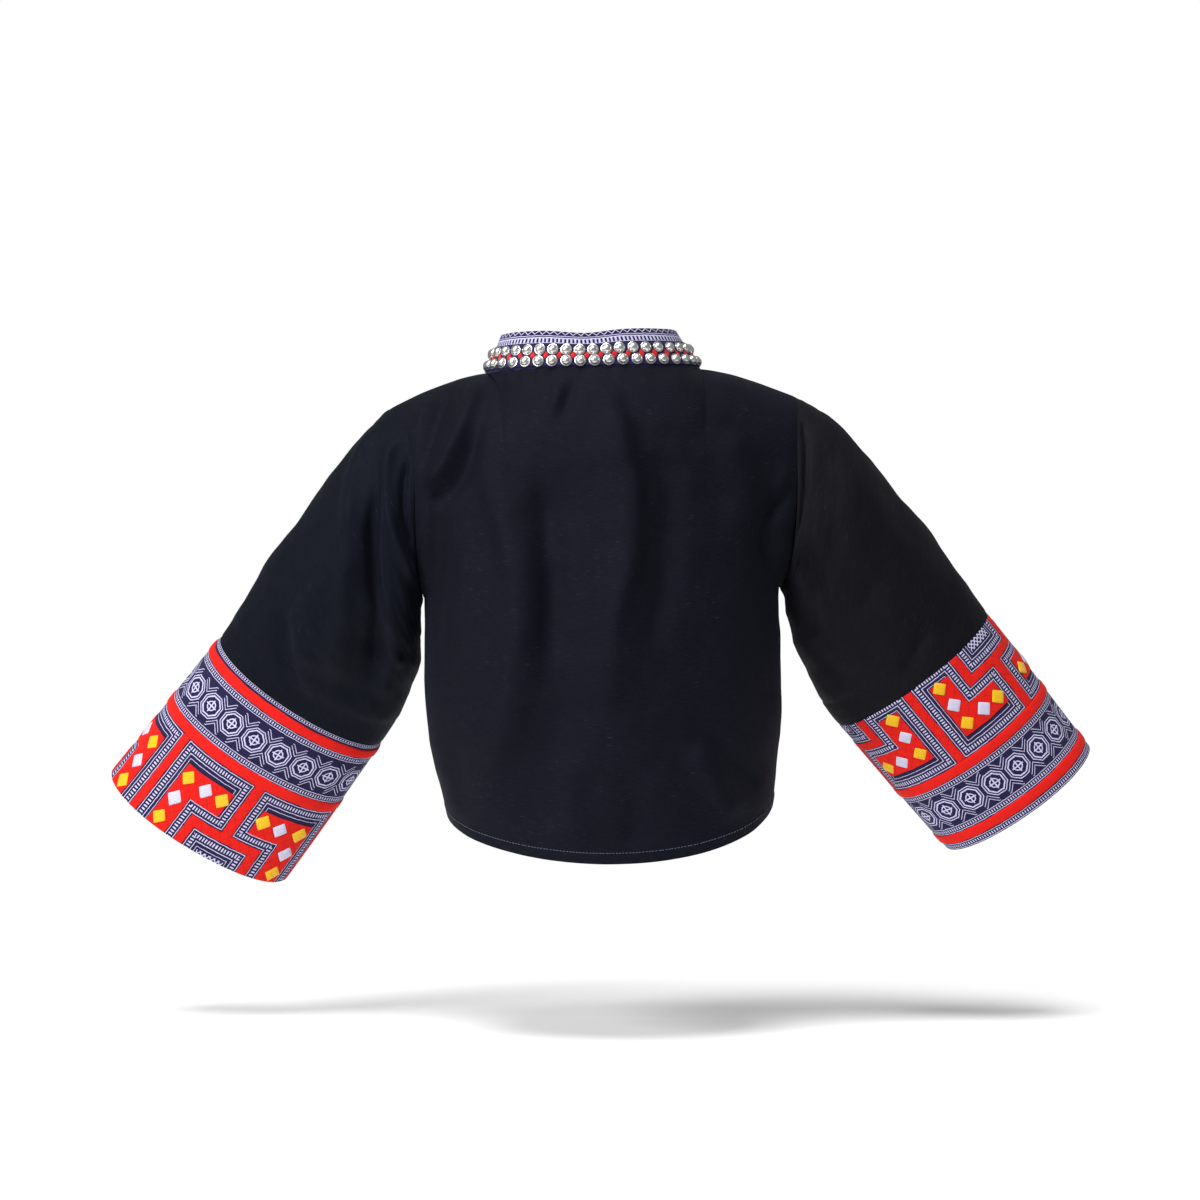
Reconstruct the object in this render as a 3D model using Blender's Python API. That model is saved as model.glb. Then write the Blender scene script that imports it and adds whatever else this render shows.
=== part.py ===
"""Hmong embroidered jacket: a cropped black linen jacket in its worn form, hollow and open at neck,
hem and cuffs.

The origin is the middle of the neck opening, at the collar seam. +Z is up, the wearer faces -Y and
the wearer's left is +X. Sizes below are in millimetres and the scene is in metres.

Every panel is a wall of cloth. A function gives each point of the garment's outer surface from an
angle and a height row, a panel is a stretch of that surface, and its inner face is the same stretch
moved in by the cloth's thickness. Neighbouring panels share their seam points, a seam gap apart.
"""
import math

import bmesh
import bpy
import numpy as np

MM = 0.001

# Cloth
LINEN = 1.5
CUFF_CLOTH = 1.8
COLLAR_CLOTH = 2.0
STRIP_CLOTH = 0.8
SEAM_GAP = 0.3
LAYER_GAP = 1.8

# Body: one row for each level from the hem up to the yoke. The last level, row 6, is the shoulder
# and neck line, and comes from the shoulder and neck sizes.
BODY_COLUMNS = ("left_x", "right_x", "left_z", "right_z", "back_y", "back_z", "front_y", "front_z")
BODY_TABLE = {
    "hem": (131, -161, -391, -382, 99, -436, -101, -430),
    "low": (145, -167, -342, -334, 102, -376, -105, -372),
    "waist": (151, -169, -293, -290, 104, -316, -108, -315),
    "chest": (152, -168, -247, -240, 106, -258, -110, -258),
    "armpit": (152, -167, -204, -194, 106, -203, -109, -203),
    "yoke": (158, -181, -106, -96, 97, -90, -95, -102),
}
HEM_ROW = 0
WAIST_ROW = 2
CHEST_ROW = 3
ARMPIT_ROW = 4
YOKE_ROW = 5
TOP_ROW = 6
BODY_ROUNDNESS = 0.8
YOKE_ROUNDNESS = 1.0

# Armholes, shoulders and neck
ARMHOLE_HALF_DEPTH = 52
SHOULDER_HALF = 185
SHOULDER_SEAM_Y = -4
LEFT_TIP_Z = -34
RIGHT_TIP_Z = -24
SHOULDER_CURVE = 1.45
NECK_HALF = 96
NECK_TILT = 2
NECK_BACK_Y = 62
NECK_FRONT_Y = -72
NECK_FRONT_Z = -45
NECK_SQUARENESS = 2.5
SHOULDER_ARC = math.radians(90)
NECK_ARC = math.radians(55)

# Crossing of the fronts: the overlap's free edge runs from the front of the neck to the right side
# seam, and its band's inner edge from the neck's left quarter to the same seam lower down.
FREE_EDGE_LOW = (-168, -217)
BAND_EDGE_LOW = (-169, -290)
BAND_NECK_ANGLE = 45
UNDERLAP_DROP = 40
UNDERLAP_STEP = (6, 34)
CROSSING_ROWS = (2.12, 2.3, 3.62, 3.8)

# Folds of the body: a soft ridge (or a trough, if its height is negative) down a line through three
# points, at the top, the middle and the bottom.
FOLD_COLUMNS = ("side", "top_x", "top_z", "mid_x", "mid_z", "low_x", "low_z", "half_width", "height")
BODY_FOLDS = {
    "left_blade": (1, 98, -50, 72, -206, 96, -400, 22, 5.5),
    "centre_ridge": (1, 2, -30, -24, -190, -8, -330, 19, 4.5),
    "right_drop": (1, -140, -70, -128, -230, -120, -400, 20, 3.0),
    "centre_hollow": (1, 34, -60, 28, -230, 40, -420, 20, -3.0),
    "front_left_drop": (-1, 92, -80, 78, -230, 84, -410, 24, 4.0),
    "front_right_drop": (-1, -60, -250, -74, -330, -80, -420, 22, 4.0),
}

# Sleeves: a ring in each row, from its outer and inner line, the middle and half of its depth, and
# how far the back of the ring runs on down the sleeve. Row 0 is the armhole, row 6 the cuff seam and
# row 7 the cuff's opening.
SLEEVE_COLUMNS = ("outer_x", "outer_z", "inner_x", "inner_z", "mid_y", "half_y", "lean")
LEFT_SLEEVE_TABLE = {
    "armhole": (185, -34, 152, -204, 0, 52, 0),
    "cap": (209, -60, 156, -226, -3, 56, 4),
    "upper": (234, -90, 157, -245, -12, 58, 8),
    "elbow": (265, -131, 159, -265, -27, 57, 12),
    "lower": (295, -168, 167, -288, -43, 54, 15),
    "wrist": (321, -207, 180, -313, -60, 50, 17),
    "cuff_seam": (346, -243, 198, -341, -77, 46, 19),
    "opening": (449, -365, 288, -466, -120, 42, 20),
}
RIGHT_SLEEVE_TABLE = {
    "armhole": (-185, -24, -167, -194, 0, 52, 0),
    "cap": (-217, -45, -173, -208, 0, 55, 3),
    "upper": (-246, -76, -177, -228, -6, 57, 5),
    "elbow": (-274, -109, -184, -248, -17, 57, 8),
    "lower": (-303, -141, -195, -272, -29, 56, 10),
    "wrist": (-331, -178, -209, -296, -41, 54, 11),
    "cuff_seam": (-360, -217, -225, -320, -52, 52, 12),
    "opening": (-458, -339, -326, -435, -83, 50, 14),
}
CUFF_SEAM_ROW = 6
OPENING_ROW = 7
ARMHOLE_FADE_ROWS = 1.5

# Folds of the sleeves: from one row and angle to another. An angle of 0 is the outer line, 90 the
# back and 180 the inner line.
SLEEVE_FOLD_COLUMNS = ("row_a", "angle_a", "row_b", "angle_b", "half_angle", "height")
LEFT_SLEEVE_FOLDS = {
    "cap_trough": (0.5, 68, 2.4, 112, 13, -5.0),
    "long_ridge": (1.6, 66, 5.0, 84, 15, 5.0),
    "inner_trough": (2.6, 128, 5.2, 122, 15, -5.0),
    "front_trough": (0.8, 290, 3.6, 255, 16, -5.0),
}
RIGHT_SLEEVE_FOLDS = {
    "armpit_trough": (0.6, 128, 2.6, 120, 16, -4.5),
    "long_ridge": (1.4, 84, 5.0, 92, 18, 3.5),
    "front_trough": (0.8, 282, 3.4, 248, 16, -5.0),
}

# Cuff strips: the share of the cuff's height where each begins and ends
STRIPS = {
    "left": {"upper": (0.012, 0.068), "lower": (0.395, 0.460)},
    "right": {"upper": (0.512, 0.572), "lower": (0.888, 0.950)},
}

# Collar: half sizes of its foot and its top edge
COLLAR_HEIGHT = 33
COLLAR_LIFT = 0.5
COLLAR_TOP_HALF = 79
COLLAR_TOP_BACK_Y = 57
COLLAR_TOP_FRONT_Y = -66
COLLAR_TOP_SHIFT = 4
COLLAR_DIP = 3.5
COLLAR_DIP_X = 6
COLLAR_DIP_HALF = 26
COLLAR_HALF_SLIT = 5
TAPE_SHARES = (0.03, 0.655)
STUD_DIAMETER = 10.0
STUD_HEIGHT = 4.2
STUD_RIM = 1.0
STUD_ROW_HEIGHTS = {"lower": 5.4, "upper": 15.9}

# Grid sizes
SHOULDER_STEPS = 5
NECK_STEPS = 12
RING_STEP = 15
LEFT_FRONT_SHOULDER_STEPS = 10
BAND_STEPS = 6
UNDERLAP_SHOULDER_STEPS = 5
UNDERLAP_NECK_END = 72
SKIRT_STEPS_PER_ROW = 2
QUARTER_STEPS = 6
SLEEVE_STEPS_PER_ROW = 2
CUFF_STEPS = 2
ROUND_STEPS = 4 * QUARTER_STEPS

BACK = 1
FRONT = -1
LEFT = 1
RIGHT = -1
SMALL = 1e-3
MITRE_LIMIT = 0.2
EDGE_MARGIN = math.radians(2)


def columns_of(table, names):
    """Turn a table of rows into one array for each named column."""
    return dict(zip(names, np.array(list(table.values()), dtype=float).T))


BODY = columns_of(BODY_TABLE, BODY_COLUMNS)
SLEEVES = {
    LEFT: columns_of(LEFT_SLEEVE_TABLE, SLEEVE_COLUMNS),
    RIGHT: columns_of(RIGHT_SLEEVE_TABLE, SLEEVE_COLUMNS),
}
SLEEVE_FOLDS = {
    LEFT: [dict(zip(SLEEVE_FOLD_COLUMNS, fold)) for fold in LEFT_SLEEVE_FOLDS.values()],
    RIGHT: [dict(zip(SLEEVE_FOLD_COLUMNS, fold)) for fold in RIGHT_SLEEVE_FOLDS.values()],
}
SIDE_NAMES = {LEFT: "left", RIGHT: "right"}
NECK_SHARE = NECK_HALF / SHOULDER_HALF
NECK_TURN = (1 - NECK_SHARE) * math.pi / 2


# Small maths

def smooth(column, row):
    """Read a table column at a part row, on a smooth curve through its values."""
    slopes = np.gradient(column)
    low = np.clip(np.floor(row).astype(int), 0, len(column) - 2)
    t = row - low
    return (
        (1 + 2 * t) * (1 - t) ** 2 * column[low]
        + t * (1 - t) ** 2 * slopes[low]
        + t ** 2 * (3 - 2 * t) * column[low + 1]
        + t ** 2 * (t - 1) * slopes[low + 1]
    )


def ease(value, low, high):
    """Rise smoothly from 0 at low to 1 at high."""
    t = np.clip((value - low) / (high - low), 0, 1)
    return t * t * (3 - 2 * t)


def mix(first, second, share):
    return first + (second - first) * share


def unit(vectors):
    length = np.linalg.norm(vectors, axis=-1, keepdims=True)
    return vectors / np.maximum(length, 1e-12)


def join(point, own, other):
    """A seam point and the slant its wall is cut to, from its own and its neighbour's directions.

    Walls that bend away from each other are both cut to one mitre. Walls that face each other, as
    under the arm, keep their own directions and step back from each other instead.
    """
    dot = float(np.dot(own, other))
    if dot > MITRE_LIMIT:
        return point, (own + other) / (1 + dot)
    return point - own * SEAM_GAP / 2, own


def along_line(start, end, x):
    """Height of the straight line through two (x, z) points."""
    return start[1] + (end[1] - start[1]) * (x - start[0]) / (end[0] - start[0])


# The body's surface

def body_edge(hand, row):
    """The side seam up to the armpit, then round the armhole to the shoulder's tip."""
    name = SIDE_NAMES[hand]
    column_x = BODY[name + "_x"]
    column_z = BODY[name + "_z"]
    tip_z = LEFT_TIP_Z if hand == LEFT else RIGHT_TIP_Z
    skirt = np.minimum(row, ARMPIT_ROW)
    lower = np.clip(row - ARMPIT_ROW, 0, 1) * math.pi / 2
    upper = np.clip(row - YOKE_ROW, 0, 1) * math.pi / 2
    x = smooth(column_x, skirt)
    x = x + (column_x[YOKE_ROW] - column_x[ARMPIT_ROW]) * np.sin(lower)
    x = x + (hand * SHOULDER_HALF - column_x[YOKE_ROW]) * (1 - np.cos(upper))
    z = smooth(column_z, skirt)
    z = z + (column_z[YOKE_ROW] - column_z[ARMPIT_ROW]) * (1 - np.cos(lower))
    z = z + (tip_z - column_z[YOKE_ROW]) * np.sin(upper)
    depth = ARMHOLE_HALF_DEPTH * np.sin(lower) * np.cos(upper)
    return x, z, depth


def neck_line(side, across):
    """Shoulder seams and neck curve, from the left tip (1) to the right tip (-1)."""
    reach = np.clip(np.abs(across) / NECK_SHARE, 0, 1)
    curve = (1 - reach ** NECK_SQUARENESS) ** (1 / NECK_SQUARENESS)
    slope = np.clip((np.abs(across) - NECK_SHARE) / (1 - NECK_SHARE), 0, 1) ** SHOULDER_CURVE
    tilt = -NECK_TILT * np.clip(across / NECK_SHARE, -1, 1)
    tip_z = np.where(across > 0, LEFT_TIP_Z, RIGHT_TIP_Z)
    neck_y = NECK_BACK_Y if side == BACK else NECK_FRONT_Y
    neck_z = 0 if side == BACK else NECK_FRONT_Z
    x = SHOULDER_HALF * across
    y = mix(SHOULDER_SEAM_Y, neck_y, curve)
    z = neck_z * curve ** 2 + tilt + (tip_z - tilt) * slope
    return x, y, z, curve


def fold_height(side, x, z):
    """How far the folds of one side lift the cloth at a point."""
    lift = np.zeros_like(x)
    for values in BODY_FOLDS.values():
        fold = dict(zip(FOLD_COLUMNS, values))
        if fold["side"] != side:
            continue
        upper = (z - fold["low_z"]) / (fold["top_z"] - fold["low_z"])
        middle = (fold["mid_z"] - fold["low_z"]) / (fold["top_z"] - fold["low_z"])
        bow = fold["mid_x"] - mix(fold["low_x"], fold["top_x"], middle)
        line_x = mix(fold["low_x"], fold["top_x"], upper) + bow * upper * (1 - upper) / (middle * (1 - middle))
        fade = ease(upper, -0.05, 0.25) * (1 - ease(upper, 0.75, 1.05))
        lift = lift + fold["height"] * fade * np.exp(-(((x - line_x) / fold["half_width"]) ** 2))
    return lift


def body(side, turn, row):
    """A point of the body: side is back or front, turn goes from 0 at the left edge to pi at the right."""
    turn, row = np.broadcast_arrays(np.asarray(turn, float), np.asarray(row, float))
    level = np.minimum(row, YOKE_ROW)
    flatten = np.sin(np.clip(level - ARMPIT_ROW, 0, 1) * math.pi / 2)
    across = mix(np.cos(turn), 1 - 2 * turn / math.pi, flatten)
    around = np.abs(np.sin(turn))
    name = "back" if side == BACK else "front"
    middle_y = smooth(BODY[name + "_y"], level)
    middle_z = smooth(BODY[name + "_z"], level)
    roundness = mix(BODY_ROUNDNESS, YOKE_ROUNDNESS, np.clip(level - ARMPIT_ROW, 0, 1))
    left_x, left_z, left_depth = body_edge(LEFT, level)
    right_x, right_z, right_depth = body_edge(RIGHT, level)
    share = (1 - across) / 2
    x = mix(left_x, right_x, share)
    edge_y = side * mix(left_depth, right_depth, share)
    edge_z = mix(left_z, right_z, share)
    y = mix(edge_y, middle_y, around ** roundness)
    z = mix(edge_z, middle_z, around)
    top_x, top_y, top_z, curve = neck_line(side, across)
    arc = mix(SHOULDER_ARC, NECK_ARC, curve)
    angle = np.clip(row - YOKE_ROW, 0, 1) * arc
    rise = np.sin(angle) / np.sin(arc)
    inward = (1 - np.cos(angle)) / (1 - np.cos(arc))
    x = mix(x, top_x, inward)
    y = mix(y, top_y, inward)
    z = mix(z, top_z, rise)
    y = y + side * fold_height(side, x, z) * around
    return np.stack([x, y, z], axis=-1)


def body_normal(side, turn, row):
    """Outward direction of the body's surface, read just inside its edges and outside the neck's corners."""
    turn, row = np.broadcast_arrays(np.asarray(turn, float), np.asarray(row, float))
    turn = np.clip(turn, EDGE_MARGIN, math.pi - EDGE_MARGIN)
    for corner, outward in ((NECK_TURN, -1), (math.pi - NECK_TURN, 1)):
        turn = np.where(np.abs(turn - corner) < EDGE_MARGIN, corner + outward * EDGE_MARGIN, turn)
    upper_row = np.maximum(row, SMALL)
    rise = body(side, turn, upper_row) - body(side, turn, upper_row - SMALL)
    sweep = body(side, turn + SMALL, row) - body(side, turn - SMALL, row)
    return unit(side * np.cross(sweep, rise))


# The sleeves' surface

def sleeve_ring(hand, angle, row):
    """A point of a plain sleeve ring."""
    table = SLEEVES[hand]
    value = {name: smooth(column, row) for name, column in table.items()}
    half_x = (value["outer_x"] - value["inner_x"]) / 2
    half_z = (value["outer_z"] - value["inner_z"]) / 2
    length = np.hypot(half_x, half_z)
    lean = value["lean"] * np.sin(angle)
    x = (value["outer_x"] + value["inner_x"]) / 2 + half_x * np.cos(angle) + lean * hand * half_z / length
    z = (value["outer_z"] + value["inner_z"]) / 2 + half_z * np.cos(angle) - lean * hand * half_x / length
    y = value["mid_y"] + value["half_y"] * np.sin(angle)
    return np.stack([x, y, z], axis=-1)


def armhole(hand, angle):
    """A point of the armhole's seam, at the sleeve's own angle."""
    behind = (angle <= math.pi)[..., None]
    row = TOP_ROW - np.minimum(angle, 2 * math.pi - angle) / (math.pi / 2)
    turn = 0.0 if hand == LEFT else math.pi
    return np.where(behind, body(BACK, turn, row), body(FRONT, turn, row))


def sleeve(hand, angle, row):
    """A point of a sleeve or its cuff, with its folds."""
    angle, row = np.broadcast_arrays(np.asarray(angle, float), np.asarray(row, float))
    point = sleeve_ring(hand, angle, np.minimum(row, CUFF_SEAM_ROW))
    keep = np.clip(1 - row / ARMHOLE_FADE_ROWS, 0, 1)[..., None] ** 2
    point = point + (armhole(hand, angle) - sleeve_ring(hand, angle, np.zeros_like(row))) * keep
    lift = np.zeros_like(angle)
    for fold in SLEEVE_FOLDS[hand]:
        share = (row - fold["row_a"]) / (fold["row_b"] - fold["row_a"])
        line = np.radians(mix(fold["angle_a"], fold["angle_b"], share))
        fade = ease(share, -0.1, 0.3) * (1 - ease(share, 0.7, 1.1))
        half_angle = math.radians(fold["half_angle"])
        lift = lift + fold["height"] * fade * np.exp(-(((angle - line) / half_angle) ** 2))
    middle = (sleeve_ring(hand, 0.0 * angle, row) + sleeve_ring(hand, 0.0 * angle + math.pi, row)) / 2
    point = point + unit(point - middle) * lift[..., None]
    cuff_share = np.clip(row - CUFF_SEAM_ROW, 0, 1)[..., None]
    opening = sleeve_ring(hand, angle, np.full_like(row, OPENING_ROW))
    return mix(point, opening, cuff_share)


def sleeve_normal(hand, angle, row):
    """Outward direction of a sleeve's surface."""
    angle, row = np.broadcast_arrays(np.asarray(angle, float), np.asarray(row, float))
    low = np.clip(row - SMALL, 0, None)
    down = sleeve(hand, angle, low + SMALL) - sleeve(hand, angle, low)
    turn = sleeve(hand, (angle + SMALL) % (2 * math.pi), row) - sleeve(hand, (angle - SMALL) % (2 * math.pi), row)
    return unit(hand * np.cross(down, turn))


# The collar's surface

def collar(angle, height):
    """A point of the collar: angle 0 is the wearer's left, 90 degrees the back."""
    angle, height = np.broadcast_arrays(np.asarray(angle, float), np.asarray(height, float))
    share = height / COLLAR_HEIGHT
    power = 2 / NECK_SQUARENESS
    across = np.sign(np.cos(angle)) * np.abs(np.cos(angle)) ** power
    curve = np.abs(np.sin(angle)) ** power
    behind = np.sin(angle) > 0
    foot_y = np.where(behind, NECK_BACK_Y, NECK_FRONT_Y)
    top_y = np.where(behind, COLLAR_TOP_BACK_Y, COLLAR_TOP_FRONT_Y)
    foot_z = np.where(behind, 0, NECK_FRONT_Z)
    x = across * mix(NECK_HALF, COLLAR_TOP_HALF, share) + COLLAR_TOP_SHIFT * share
    y = mix(SHOULDER_SEAM_Y, mix(foot_y, top_y, share), curve)
    z = foot_z * curve ** 2 - NECK_TILT * across + COLLAR_LIFT + height
    dip = COLLAR_DIP * share * np.exp(-(((x - COLLAR_DIP_X) / COLLAR_DIP_HALF) ** 2)) * behind
    return np.stack([x, y, z - dip], axis=-1)


def collar_normal(angle, height):
    """Outward direction of the collar's surface."""
    sweep = collar(angle + SMALL, height) - collar(angle - SMALL, height)
    rise = collar(angle, height + SMALL) - collar(angle, height - SMALL)
    return unit(np.cross(sweep, rise))


# Building

def clear_scene():
    for item in list(bpy.data.objects):
        bpy.data.objects.remove(item, do_unlink=True)


def finish(name, colour, roughness, metallic=0.0):
    """A plain material for one piece."""
    material = bpy.data.materials.new(name)
    material.use_nodes = True
    shader = material.node_tree.nodes["Principled BSDF"]
    shader.inputs["Base Color"].default_value = (*colour, 1.0)
    shader.inputs["Roughness"].default_value = roughness
    shader.inputs["Metallic"].default_value = metallic
    return material


def pull_edge(grid, edge, distance):
    """Move one edge of a grid of points back along the surface, to leave its part of a seam gap."""
    edges = {
        "first_row": (np.s_[0, :], np.s_[1, :]),
        "last_row": (np.s_[-1, :], np.s_[-2, :]),
        "first_column": (np.s_[:, 0], np.s_[:, 1]),
        "last_column": (np.s_[:, -1], np.s_[:, -2]),
    }
    at, beside = edges[edge]
    grid[at] = grid[at] + unit(grid[beside] - grid[at]) * distance


def wall(name, outer, normals, thickness, material, closed=False):
    """Build a wall of cloth from its outer points, as one closed solid."""
    rows, columns = outer.shape[:2]
    inner = outer - normals * np.broadcast_to(thickness, outer.shape[:2])[..., None]
    count = rows * columns
    points = np.concatenate([outer.reshape(-1, 3), inner.reshape(-1, 3)]) * MM
    faces = []

    def quad(a, b, c, d):
        faces.append((a, b, c))
        faces.append((a, c, d))

    def at(row, column):
        return row * columns + column % columns

    for row in range(rows - 1):
        for column in range(columns if closed else columns - 1):
            corners = [at(row, column), at(row, column + 1), at(row + 1, column + 1), at(row + 1, column)]
            quad(*corners)
            faces.append((corners[2] + count, corners[1] + count, corners[0] + count))
            faces.append((corners[3] + count, corners[2] + count, corners[0] + count))
    for row in (0, rows - 1):
        for column in range(columns if closed else columns - 1):
            a, b = at(row, column), at(row, column + 1)
            quad(a, b, b + count, a + count)
    if not closed:
        for column in (0, columns - 1):
            for row in range(rows - 1):
                a, b = at(row, column), at(row + 1, column)
                quad(a, b, b + count, a + count)

    mesh = bpy.data.meshes.new(name)
    mesh.from_pydata(points.tolist(), [], faces)
    shape = bmesh.new()
    shape.from_mesh(mesh)
    bmesh.ops.recalc_face_normals(shape, faces=shape.faces[:])
    if shape.calc_volume(signed=True) < 0:
        bmesh.ops.reverse_faces(shape, faces=shape.faces[:])
    shape.to_mesh(mesh)
    shape.free()
    mesh.shade_smooth()
    mesh.set_sharp_from_angle(angle=math.radians(50))
    mesh.materials.append(material)
    piece = bpy.data.objects.new(name, mesh)
    bpy.context.scene.collection.objects.link(piece)
    return piece


def take_facet_normals(grid, normals, outward):
    """Give the points inside a panel the directions of the facets round them."""
    down = grid[2:, 1:-1] - grid[:-2, 1:-1]
    across = grid[1:-1, 2:] - grid[1:-1, :-2]
    normals[1:-1, 1:-1] = unit(outward * np.cross(across, down))


def body_rows(lowest=HEM_ROW, extra_rows=()):
    """Height rows of a body panel."""
    skirt = np.linspace(HEM_ROW, ARMPIT_ROW, ARMPIT_ROW * SKIRT_STEPS_PER_ROW + 1)
    armhole_rows = np.linspace(ARMPIT_ROW, TOP_ROW, 2 * QUARTER_STEPS + 1)
    rows = np.sort(np.concatenate([skirt[:-1], extra_rows, armhole_rows]))
    return rows[rows >= lowest]


def cut_armhole(grid, normals, hand, side, rows, column):
    """Cut a panel's armhole edge to the same slant as the sleeve that meets it."""
    for index, row in enumerate(rows):
        if row < ARMPIT_ROW:
            continue
        quarter = (TOP_ROW - row) * math.pi / 2
        angle = quarter if side == BACK else 2 * math.pi - quarter
        other = sleeve_normal(hand, np.array(angle), 0.0)
        grid[index, column], normals[index, column] = join(grid[index, column], normals[index, column], other)


def cut_shoulder(grid, normals, side, turns):
    """Cut a panel's shoulder seam to the same slant as the panel on the other side of it."""
    for index, turn in enumerate(turns):
        if min(turn, math.pi - turn) > NECK_TURN + SMALL:
            continue
        other = body_normal(-side, turn, TOP_ROW)
        grid[-1, index], normals[-1, index] = join(grid[-1, index], normals[-1, index], other)


def neck_turns(angles):
    """Turns of the points that stand at these angles round the neck."""
    cosine = np.cos(angles)
    share = np.sign(cosine) * np.abs(cosine) ** (2 / NECK_SQUARENESS)
    return (1 - NECK_SHARE * share) * math.pi / 2


def build_back(material):
    shoulder = np.linspace(0, NECK_TURN, SHOULDER_STEPS + 1)
    neck = neck_turns(np.linspace(0, math.pi, NECK_STEPS + 1))
    top_turns = np.concatenate([shoulder[:-1], neck, math.pi - shoulder[::-1][1:]])
    even_turns = np.linspace(0, math.pi, len(top_turns))
    rows = body_rows()
    gather = ease(rows, ARMPIT_ROW, TOP_ROW)[:, None]
    turns = mix(even_turns[None, :], top_turns[None, :], gather)
    grid = body(BACK, turns, rows[:, None])
    normals = body_normal(BACK, turns, rows[:, None])
    take_facet_normals(grid, normals, BACK)
    cut_shoulder(grid, normals, BACK, top_turns)
    cut_armhole(grid, normals, LEFT, BACK, rows, 0)
    cut_armhole(grid, normals, RIGHT, BACK, rows, -1)
    for edge in ("first_column", "last_column", "last_row"):
        pull_edge(grid, edge, SEAM_GAP / 2)
    return wall("back", grid, normals, LINEN, material)


def crossing_turn(row, start, end):
    """Where a slanting line over the front crosses a height row."""
    low = 0.0
    high = math.pi
    for _ in range(50):
        middle = (low + high) / 2
        x, _, z = body(FRONT, middle, row)
        if z > along_line(start, end, x):
            high = middle
        else:
            low = middle
    return (low + high) / 2


def free_edge_start():
    return (0.0, NECK_FRONT_Z)


def free_edge_turn(row):
    """The overlap's free edge, or the right side seam below it."""
    if row <= CHEST_ROW + 0.5:
        return math.pi
    if row >= TOP_ROW:
        return math.pi / 2
    return crossing_turn(row, free_edge_start(), FREE_EDGE_LOW)


def band_edge_turn(row):
    """The seam between the overlap and its band."""
    top_turn = float(neck_turns(math.radians(BAND_NECK_ANGLE)))
    if row >= TOP_ROW:
        return top_turn
    x, _, z = body(FRONT, top_turn, TOP_ROW)
    return min(crossing_turn(row, (x, z), BAND_EDGE_LOW), math.pi - EDGE_MARGIN)


def underlap_turn(row):
    """The underlap's hidden edge."""
    start = (0.0, NECK_FRONT_Z - UNDERLAP_DROP)
    end = (FREE_EDGE_LOW[0], FREE_EDGE_LOW[1] - UNDERLAP_DROP)
    return crossing_turn(row, start, end)


def build_left_front(material):
    rows = body_rows(extra_rows=CROSSING_ROWS)
    shoulder = np.linspace(0, NECK_TURN, LEFT_FRONT_SHOULDER_STEPS + 1)
    neck = neck_turns(np.radians(np.arange(RING_STEP, BAND_NECK_ANGLE + 1, RING_STEP)))
    top_turns = np.concatenate([shoulder, neck])
    even_shares = np.linspace(0, 1, len(top_turns))
    ends = np.array([band_edge_turn(row) if row >= WAIST_ROW else math.pi for row in rows])
    gather = ease(rows, ARMPIT_ROW, TOP_ROW)[:, None]
    shares = mix(even_shares[None, :], top_turns[None, :] / top_turns[-1], gather)
    turns = shares * ends[:, None]
    grid = body(FRONT, turns, rows[:, None])
    normals = body_normal(FRONT, turns, rows[:, None])
    take_facet_normals(grid, normals, FRONT)
    cut_shoulder(grid, normals, FRONT, top_turns)
    cut_armhole(grid, normals, LEFT, FRONT, rows, 0)
    for edge in ("first_column", "last_column", "last_row"):
        pull_edge(grid, edge, SEAM_GAP / 2)
    return wall("left_front", grid, normals, LINEN, material)


def build_front_band(material):
    rows = body_rows(WAIST_ROW, CROSSING_ROWS)
    shares = np.sin(np.linspace(0, math.pi / 2, BAND_STEPS + 1))
    starts = np.array([band_edge_turn(row) for row in rows])
    ends = np.array([free_edge_turn(row) for row in rows])
    ends[0] = math.pi
    turns = starts[:, None] + shares[None, :] * (ends - starts)[:, None]
    turns[-1] = neck_turns(mix(math.radians(BAND_NECK_ANGLE), math.pi / 2, shares))
    grid = body(FRONT, turns, rows[:, None])
    normals = body_normal(FRONT, turns, rows[:, None])
    for edge in ("first_column", "last_column"):
        pull_edge(grid, edge, SEAM_GAP / 2)
    return wall("front_band", grid, normals, LINEN, material)


def build_right_front(material):
    rows = body_rows(CHEST_ROW, CROSSING_ROWS)
    shoulder = np.linspace(math.pi, math.pi - NECK_TURN, UNDERLAP_SHOULDER_STEPS + 1)
    neck = neck_turns(np.radians(np.arange(180, UNDERLAP_NECK_END, -RING_STEP)))
    top_turns = np.concatenate([shoulder[:-1], neck, [underlap_turn(TOP_ROW)]])
    shares = (math.pi - top_turns) / (math.pi - top_turns[-1])
    ends = np.array([underlap_turn(row) for row in rows])
    turns = math.pi - shares[None, :] * (math.pi - ends)[:, None]
    grid = body(FRONT, turns, rows[:, None])
    normals = body_normal(FRONT, turns, rows[:, None])
    above = grid[..., 2] - along_line(free_edge_start(), FREE_EDGE_LOW, grid[..., 0])
    depth = (LINEN + LAYER_GAP) * (1 - ease(above, *UNDERLAP_STEP))
    grid = grid - normals * depth[..., None]
    cut_shoulder(grid, normals, FRONT, top_turns)
    cut_armhole(grid, normals, RIGHT, FRONT, rows, 0)
    for edge in ("first_column", "last_row"):
        pull_edge(grid, edge, SEAM_GAP / 2)
    return wall("right_front", grid, normals, LINEN, material)


def ring_angles():
    return np.linspace(0, 2 * math.pi, ROUND_STEPS, endpoint=False)


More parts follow.
